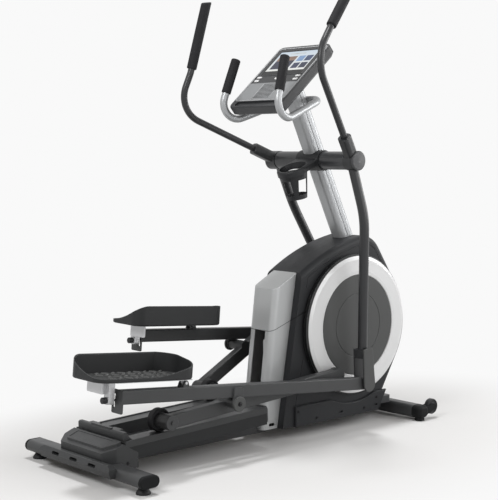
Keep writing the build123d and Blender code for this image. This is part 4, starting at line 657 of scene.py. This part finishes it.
RIB_TREE = tread_ribs()
for name, side in SIDES.items():
    spots, turns = [], []
    for i in range(TREAD_ALONG):
        for j in range(TREAD_ACROSS):
            x = TREAD_REAR + i * TREAD_STEP + TREAD_SHIFT * (j % 2)
            spots.append(Vector((x, side * (TREAD_OUT - j * TREAD_LINE), TREAD_UP)) * MM)
            turns.append(math.radians(TREAD_TURN if (i + j) % 2 else -TREAD_TURN) * -side)
    mesh = grown(f"tread_ribs_{name}", spots, "turn", "FLOAT", turns, RIB_TREE, RIB_SIZES)
    mesh.transform(TRAYS[name])
    piece(f"tread_ribs_{name}", mesh, tread_rubber_painted_highlight, f"pedal_{name}")


# Tread mats and toe walls

# A foot tray's plan in millimetres, x from its hinge and y from its outer edge
TRAY_REAR, TRAY_FRONT, TRAY_WIDE = -378, 44, 186
# How far the outer edge stands from the machine's middle, and the tray's underside above its hinge
TRAY_OUT, TRAY_RISE = 244, 13
# x, y, radius and first angle of each corner, and the steps round it
TRAY_CORNERS = [(TRAY_FRONT, TRAY_WIDE, 62, 90), (TRAY_FRONT, 0, 62, 0), (TRAY_REAR, 0, 46, -90),
                (TRAY_REAR, TRAY_WIDE, 46, 180)]
TRAY_STEPS = 20
MAT_INSET, MAT_LOW, MAT_HIGH, MAT_CHAMFER = 13, 6.8, 8.4, 0.6
# Height of the toe wall's top along its run round the tray's front, and how often that line is eased
TOE_RUN, TOE_TOP, TOE_EASE = (0, 97, 159, 208, 257, 320, 390), (76, 71, 61, 49, 38, 22, 12), 9
TOE_BACK, TOE_FOOT, TOE_SAMPLES = -150, 6.6, 200
# The toe wall's section: inset from the tray's edge, and depth below the wall's top or None at its foot
TOE_SECTION = ((-0.4, None), (-0.4, 2.2), (0.4, 0.7), (1.6, 0.1), (3.4, 0.1), (4.6, 0.7), (5.4, 2.2),
               (5.4, None))


def tray_corner(x, y, radius, start, inset):
    """Points round one corner of the tray's plan, set in from its edge."""
    middle_x = x - math.copysign(radius, x - (TRAY_REAR + TRAY_FRONT) / 2)
    middle_y = y - math.copysign(radius, y - TRAY_WIDE / 2)
    turns = (math.radians(start - 90 * j / TRAY_STEPS) for j in range(TRAY_STEPS + 1))
    reach_out = radius - inset
    return [(middle_x + reach_out * math.cos(a), middle_y + reach_out * math.sin(a)) for a in turns]


def toe_path(inset):
    """Round the tray's front and back along its outer side."""
    front = tray_corner(*TRAY_CORNERS[0], inset) + tray_corner(*TRAY_CORNERS[1], inset)
    start = front[-1][0]
    return front + [(start + (TOE_BACK - start) * j / TRAY_STEPS, inset) for j in range(1, TRAY_STEPS + 1)]


def toe_heights():
    """Height of the toe wall's top at each point of its path."""
    edge = np.array(toe_path(0))
    along = np.concatenate([[0], np.cumsum(np.linalg.norm(np.diff(edge, axis=0), axis=1))])
    even = np.linspace(0, along[-1], TOE_SAMPLES)
    eased = np.interp(even, TOE_RUN, TOE_TOP)
    for _ in range(TOE_EASE):
        eased[1:-1] = (eased[:-2] + eased[1:-1] + eased[2:]) / 3
    return np.interp(along, even, eased)


def in_tray(name, x, y, z):
    """A point of one tray's plan, at a height over its underside, in the machine's frame."""
    return TRAYS[name] @ (Vector((x, SIDES[name] * (TRAY_OUT - y), TRAY_RISE + z)) * MM)


toe_top = toe_heights()
for name in SIDES:
    rings = []
    for inset, z in ((0, MAT_LOW), (0, MAT_HIGH - MAT_CHAMFER), (MAT_CHAMFER, MAT_HIGH)):
        plan = [p for corner in TRAY_CORNERS for p in tray_corner(*corner, MAT_INSET + inset)]
        rings.append([in_tray(name, x, y, z) for x, y in plan])
    mesh = skin(f"tread_mat_{name}", rings, smooth=False)
    piece(f"tread_mat_{name}", mesh, mat_rubber, f"pedal_{name}")

    lines = [[(x, y, TOE_FOOT if down is None else top - down) for (x, y), top in zip(toe_path(inset), toe_top)]
             for inset, down in TOE_SECTION]
    rings = [[in_tray(name, *line[k]) for line in lines] for k in range(len(toe_top))]
    mesh = skin(f"toe_wall_{name}", rings, smooth=False)
    piece(f"toe_wall_{name}", mesh, tray_abs, f"pedal_{name}")


# Clevis covers

SWINGS = {"right": stood(356, 1083, 4.7522), "left": stood(356, 1083, 31.1914)}
# The pin and the cover's top below the swing pivot, radius round the pin, half width and corners at the top
COVER_PIN, COVER_TOP, COVER_RADIUS, COVER_HALF, COVER_CORNER = -886, -742, 31, 26, 9
# Distance of the cover's back from the machine's middle, its thickness, and its rounded edge
COVER_BACK, COVER_THICK, COVER_EDGE, COVER_ROLL = 242.6, 5.6, 2.4, 0.7
PIN_STEPS, COVER_STEPS = 24, 6


def cover_outline(inset):
    """A drop shape round the pedal arm's front pin, square at the top with eased corners."""
    points = []
    lean = math.asin((COVER_RADIUS - COVER_HALF) / (COVER_TOP - COVER_PIN))
    radius = COVER_RADIUS - inset
    for j in range(PIN_STEPS + 1):
        a = -lean - (math.pi - 2 * lean) * j / PIN_STEPS
        points.append((radius * math.cos(a), COVER_PIN + radius * math.sin(a)))
    ease = COVER_CORNER - inset
    for x, start in ((-COVER_HALF + COVER_CORNER, 180), (COVER_HALF - COVER_CORNER, 90)):
        for j in range(COVER_STEPS + 1):
            a = math.radians(start - 90 * j / COVER_STEPS)
            points.append((x + ease * math.cos(a), COVER_TOP - COVER_CORNER + ease * math.sin(a)))
    return points


for name, side in SIDES.items():
    rings = []
    for inset, out in ((0.0, 0.0), (0.0, COVER_THICK - COVER_EDGE), (COVER_ROLL, COVER_THICK - COVER_ROLL),
                       (COVER_EDGE, COVER_THICK)):
        rings.append([SWINGS[name] @ (Vector((x, side * (COVER_BACK + out), z)) * MM)
                      for x, z in cover_outline(inset)])
    mesh = skin(f"clevis_cover_{name}", rings, smooth=False)
    piece(f"clevis_cover_{name}", mesh, disc_abs, f"swing_arm_{name}")


# Camera, floor and light

CAMERA_AT = Vector((-3.067, -3.398, 1.1246))
CAMERA_YAW, CAMERA_PITCH = 0.8355, 0.0834
FOCAL_PX, IMAGE_PX, SENSOR_MM = 1197, 500, 36.0
# Half length and half width of the floor's oval, and the shares of it where the floor begins and ends its fade
FADE_LONG, FADE_WIDE, FADE_BEGINS, FADE_ENDS = 1.0, 0.62, 0.85, 1.9
FLOOR_HALF = 30
BACKDROP = "#F9F9F9"

camera_data = bpy.data.cameras.new("camera")
camera_data.sensor_width = SENSOR_MM
camera_data.lens = FOCAL_PX * SENSOR_MM / IMAGE_PX
camera = bpy.data.objects.new("camera", camera_data)
level = math.cos(CAMERA_PITCH)
look = Vector((math.cos(CAMERA_YAW) * level, math.sin(CAMERA_YAW) * level, -math.sin(CAMERA_PITCH)))
camera.location = CAMERA_AT
camera.rotation_euler = look.to_track_quat("-Z", "Y").to_euler()
bpy.context.scene.collection.objects.link(camera)
bpy.context.scene.camera = camera


def looked_at(tree):
    """1 where a surface is seen straight, in a reflection or through glass, and 0 where it only gives light."""
    rays = add(tree, "ShaderNodeLightPath").outputs
    seen = add(tree, "ShaderNodeMath", {0: rays["Is Camera Ray"], 1: rays["Is Glossy Ray"]},
               operation="MAXIMUM")
    return add(tree, "ShaderNodeMath", {0: seen.outputs[0], 1: rays["Is Transmission Ray"]},
               operation="MAXIMUM").outputs[0]


def studio_floor():
    """A pale floor that keeps the contact shadow and melts into the white background further out."""
    made, tree = blank("pale_floor")
    place = add(tree, "ShaderNodeTexCoord").outputs["Object"]
    oval = add(tree, "ShaderNodeMapping", {"Vector": place, "Scale": (1 / FADE_LONG, 1 / FADE_WIDE, 1.0)})
    away = add(tree, "ShaderNodeVectorMath", {0: oval.outputs["Vector"]}, operation="LENGTH")
    fade = add(tree, "ShaderNodeMapRange", {"Value": away.outputs["Value"], "From Min": FADE_BEGINS,
                                            "From Max": FADE_ENDS}, interpolation_type="SMOOTHSTEP")
    share = add(tree, "ShaderNodeMath", {0: looked_at(tree), 1: fade.outputs["Result"]}, operation="MULTIPLY")
    matt = add(tree, "ShaderNodeBsdfDiffuse", {"Color": linear("#DADADA")})
    white = add(tree, "ShaderNodeEmission", {"Color": linear(BACKDROP), "Strength": 1.0})
    mixed = add(tree, "ShaderNodeMixShader", {0: share.outputs[0], 1: matt.outputs[0], 2: white.outputs[0]})
    add(tree, "ShaderNodeOutputMaterial", {"Surface": mixed.outputs[0]})
    mesh = bpy.data.meshes.new("floor")
    corners = ((-1, -1), (1, -1), (1, 1), (-1, 1))
    mesh.from_pydata([(FLOOR_HALF * x, FLOOR_HALF * y, 0) for x, y in corners], [], [(0, 1, 2, 3)])
    obj = bpy.data.objects.new("floor", mesh)
    bpy.context.scene.collection.objects.link(obj)
    dress(obj, made)


def studio_light(name, place, target, size, power):
    """A soft square lamp at a place, turned towards a point of the machine."""
    lamp = bpy.data.lights.new(name, "AREA")
    lamp.energy = power
    lamp.size = size
    obj = bpy.data.objects.new(name, lamp)
    obj.location = place
    obj.rotation_euler = (Vector(target) - Vector(place)).to_track_quat("-Z", "Y").to_euler()
    bpy.context.scene.collection.objects.link(obj)


def studio_world():
    """A white background to look at, which lights the machine only softly."""
    world = bpy.data.worlds.new("studio")
    world.use_nodes = True
    tree = world.node_tree
    tree.nodes.clear()
    soft = add(tree, "ShaderNodeBackground", {"Color": linear("#FFF9F2"), "Strength": 0.27})
    white = add(tree, "ShaderNodeBackground", {"Color": linear(BACKDROP), "Strength": 1.0})
    mixed = add(tree, "ShaderNodeMixShader", {0: looked_at(tree), 1: soft.outputs[0], 2: white.outputs[0]})
    add(tree, "ShaderNodeOutputWorld", {"Surface": mixed.outputs[0]})
    bpy.context.scene.world = world


studio_floor()
studio_world()
# Place, target and size in metres, and power in watts
studio_light("top", (0.6, 1.0, 9.0), (0, 0, 0.3), 1.2, 350)
studio_light("side", (0.9, -4.0, 2.0), (0.3, 0, 0.7), 3.0, 66)
studio_light("rear", (-3.2, -0.6, 3.0), (0, 0, 0.7), 1.6, 78)
studio_light("rim", (3.2, -1.5, 1.6), (0.3, 0, 0.9), 1.6, 44)

bpy.context.scene.view_settings.view_transform = "Standard"
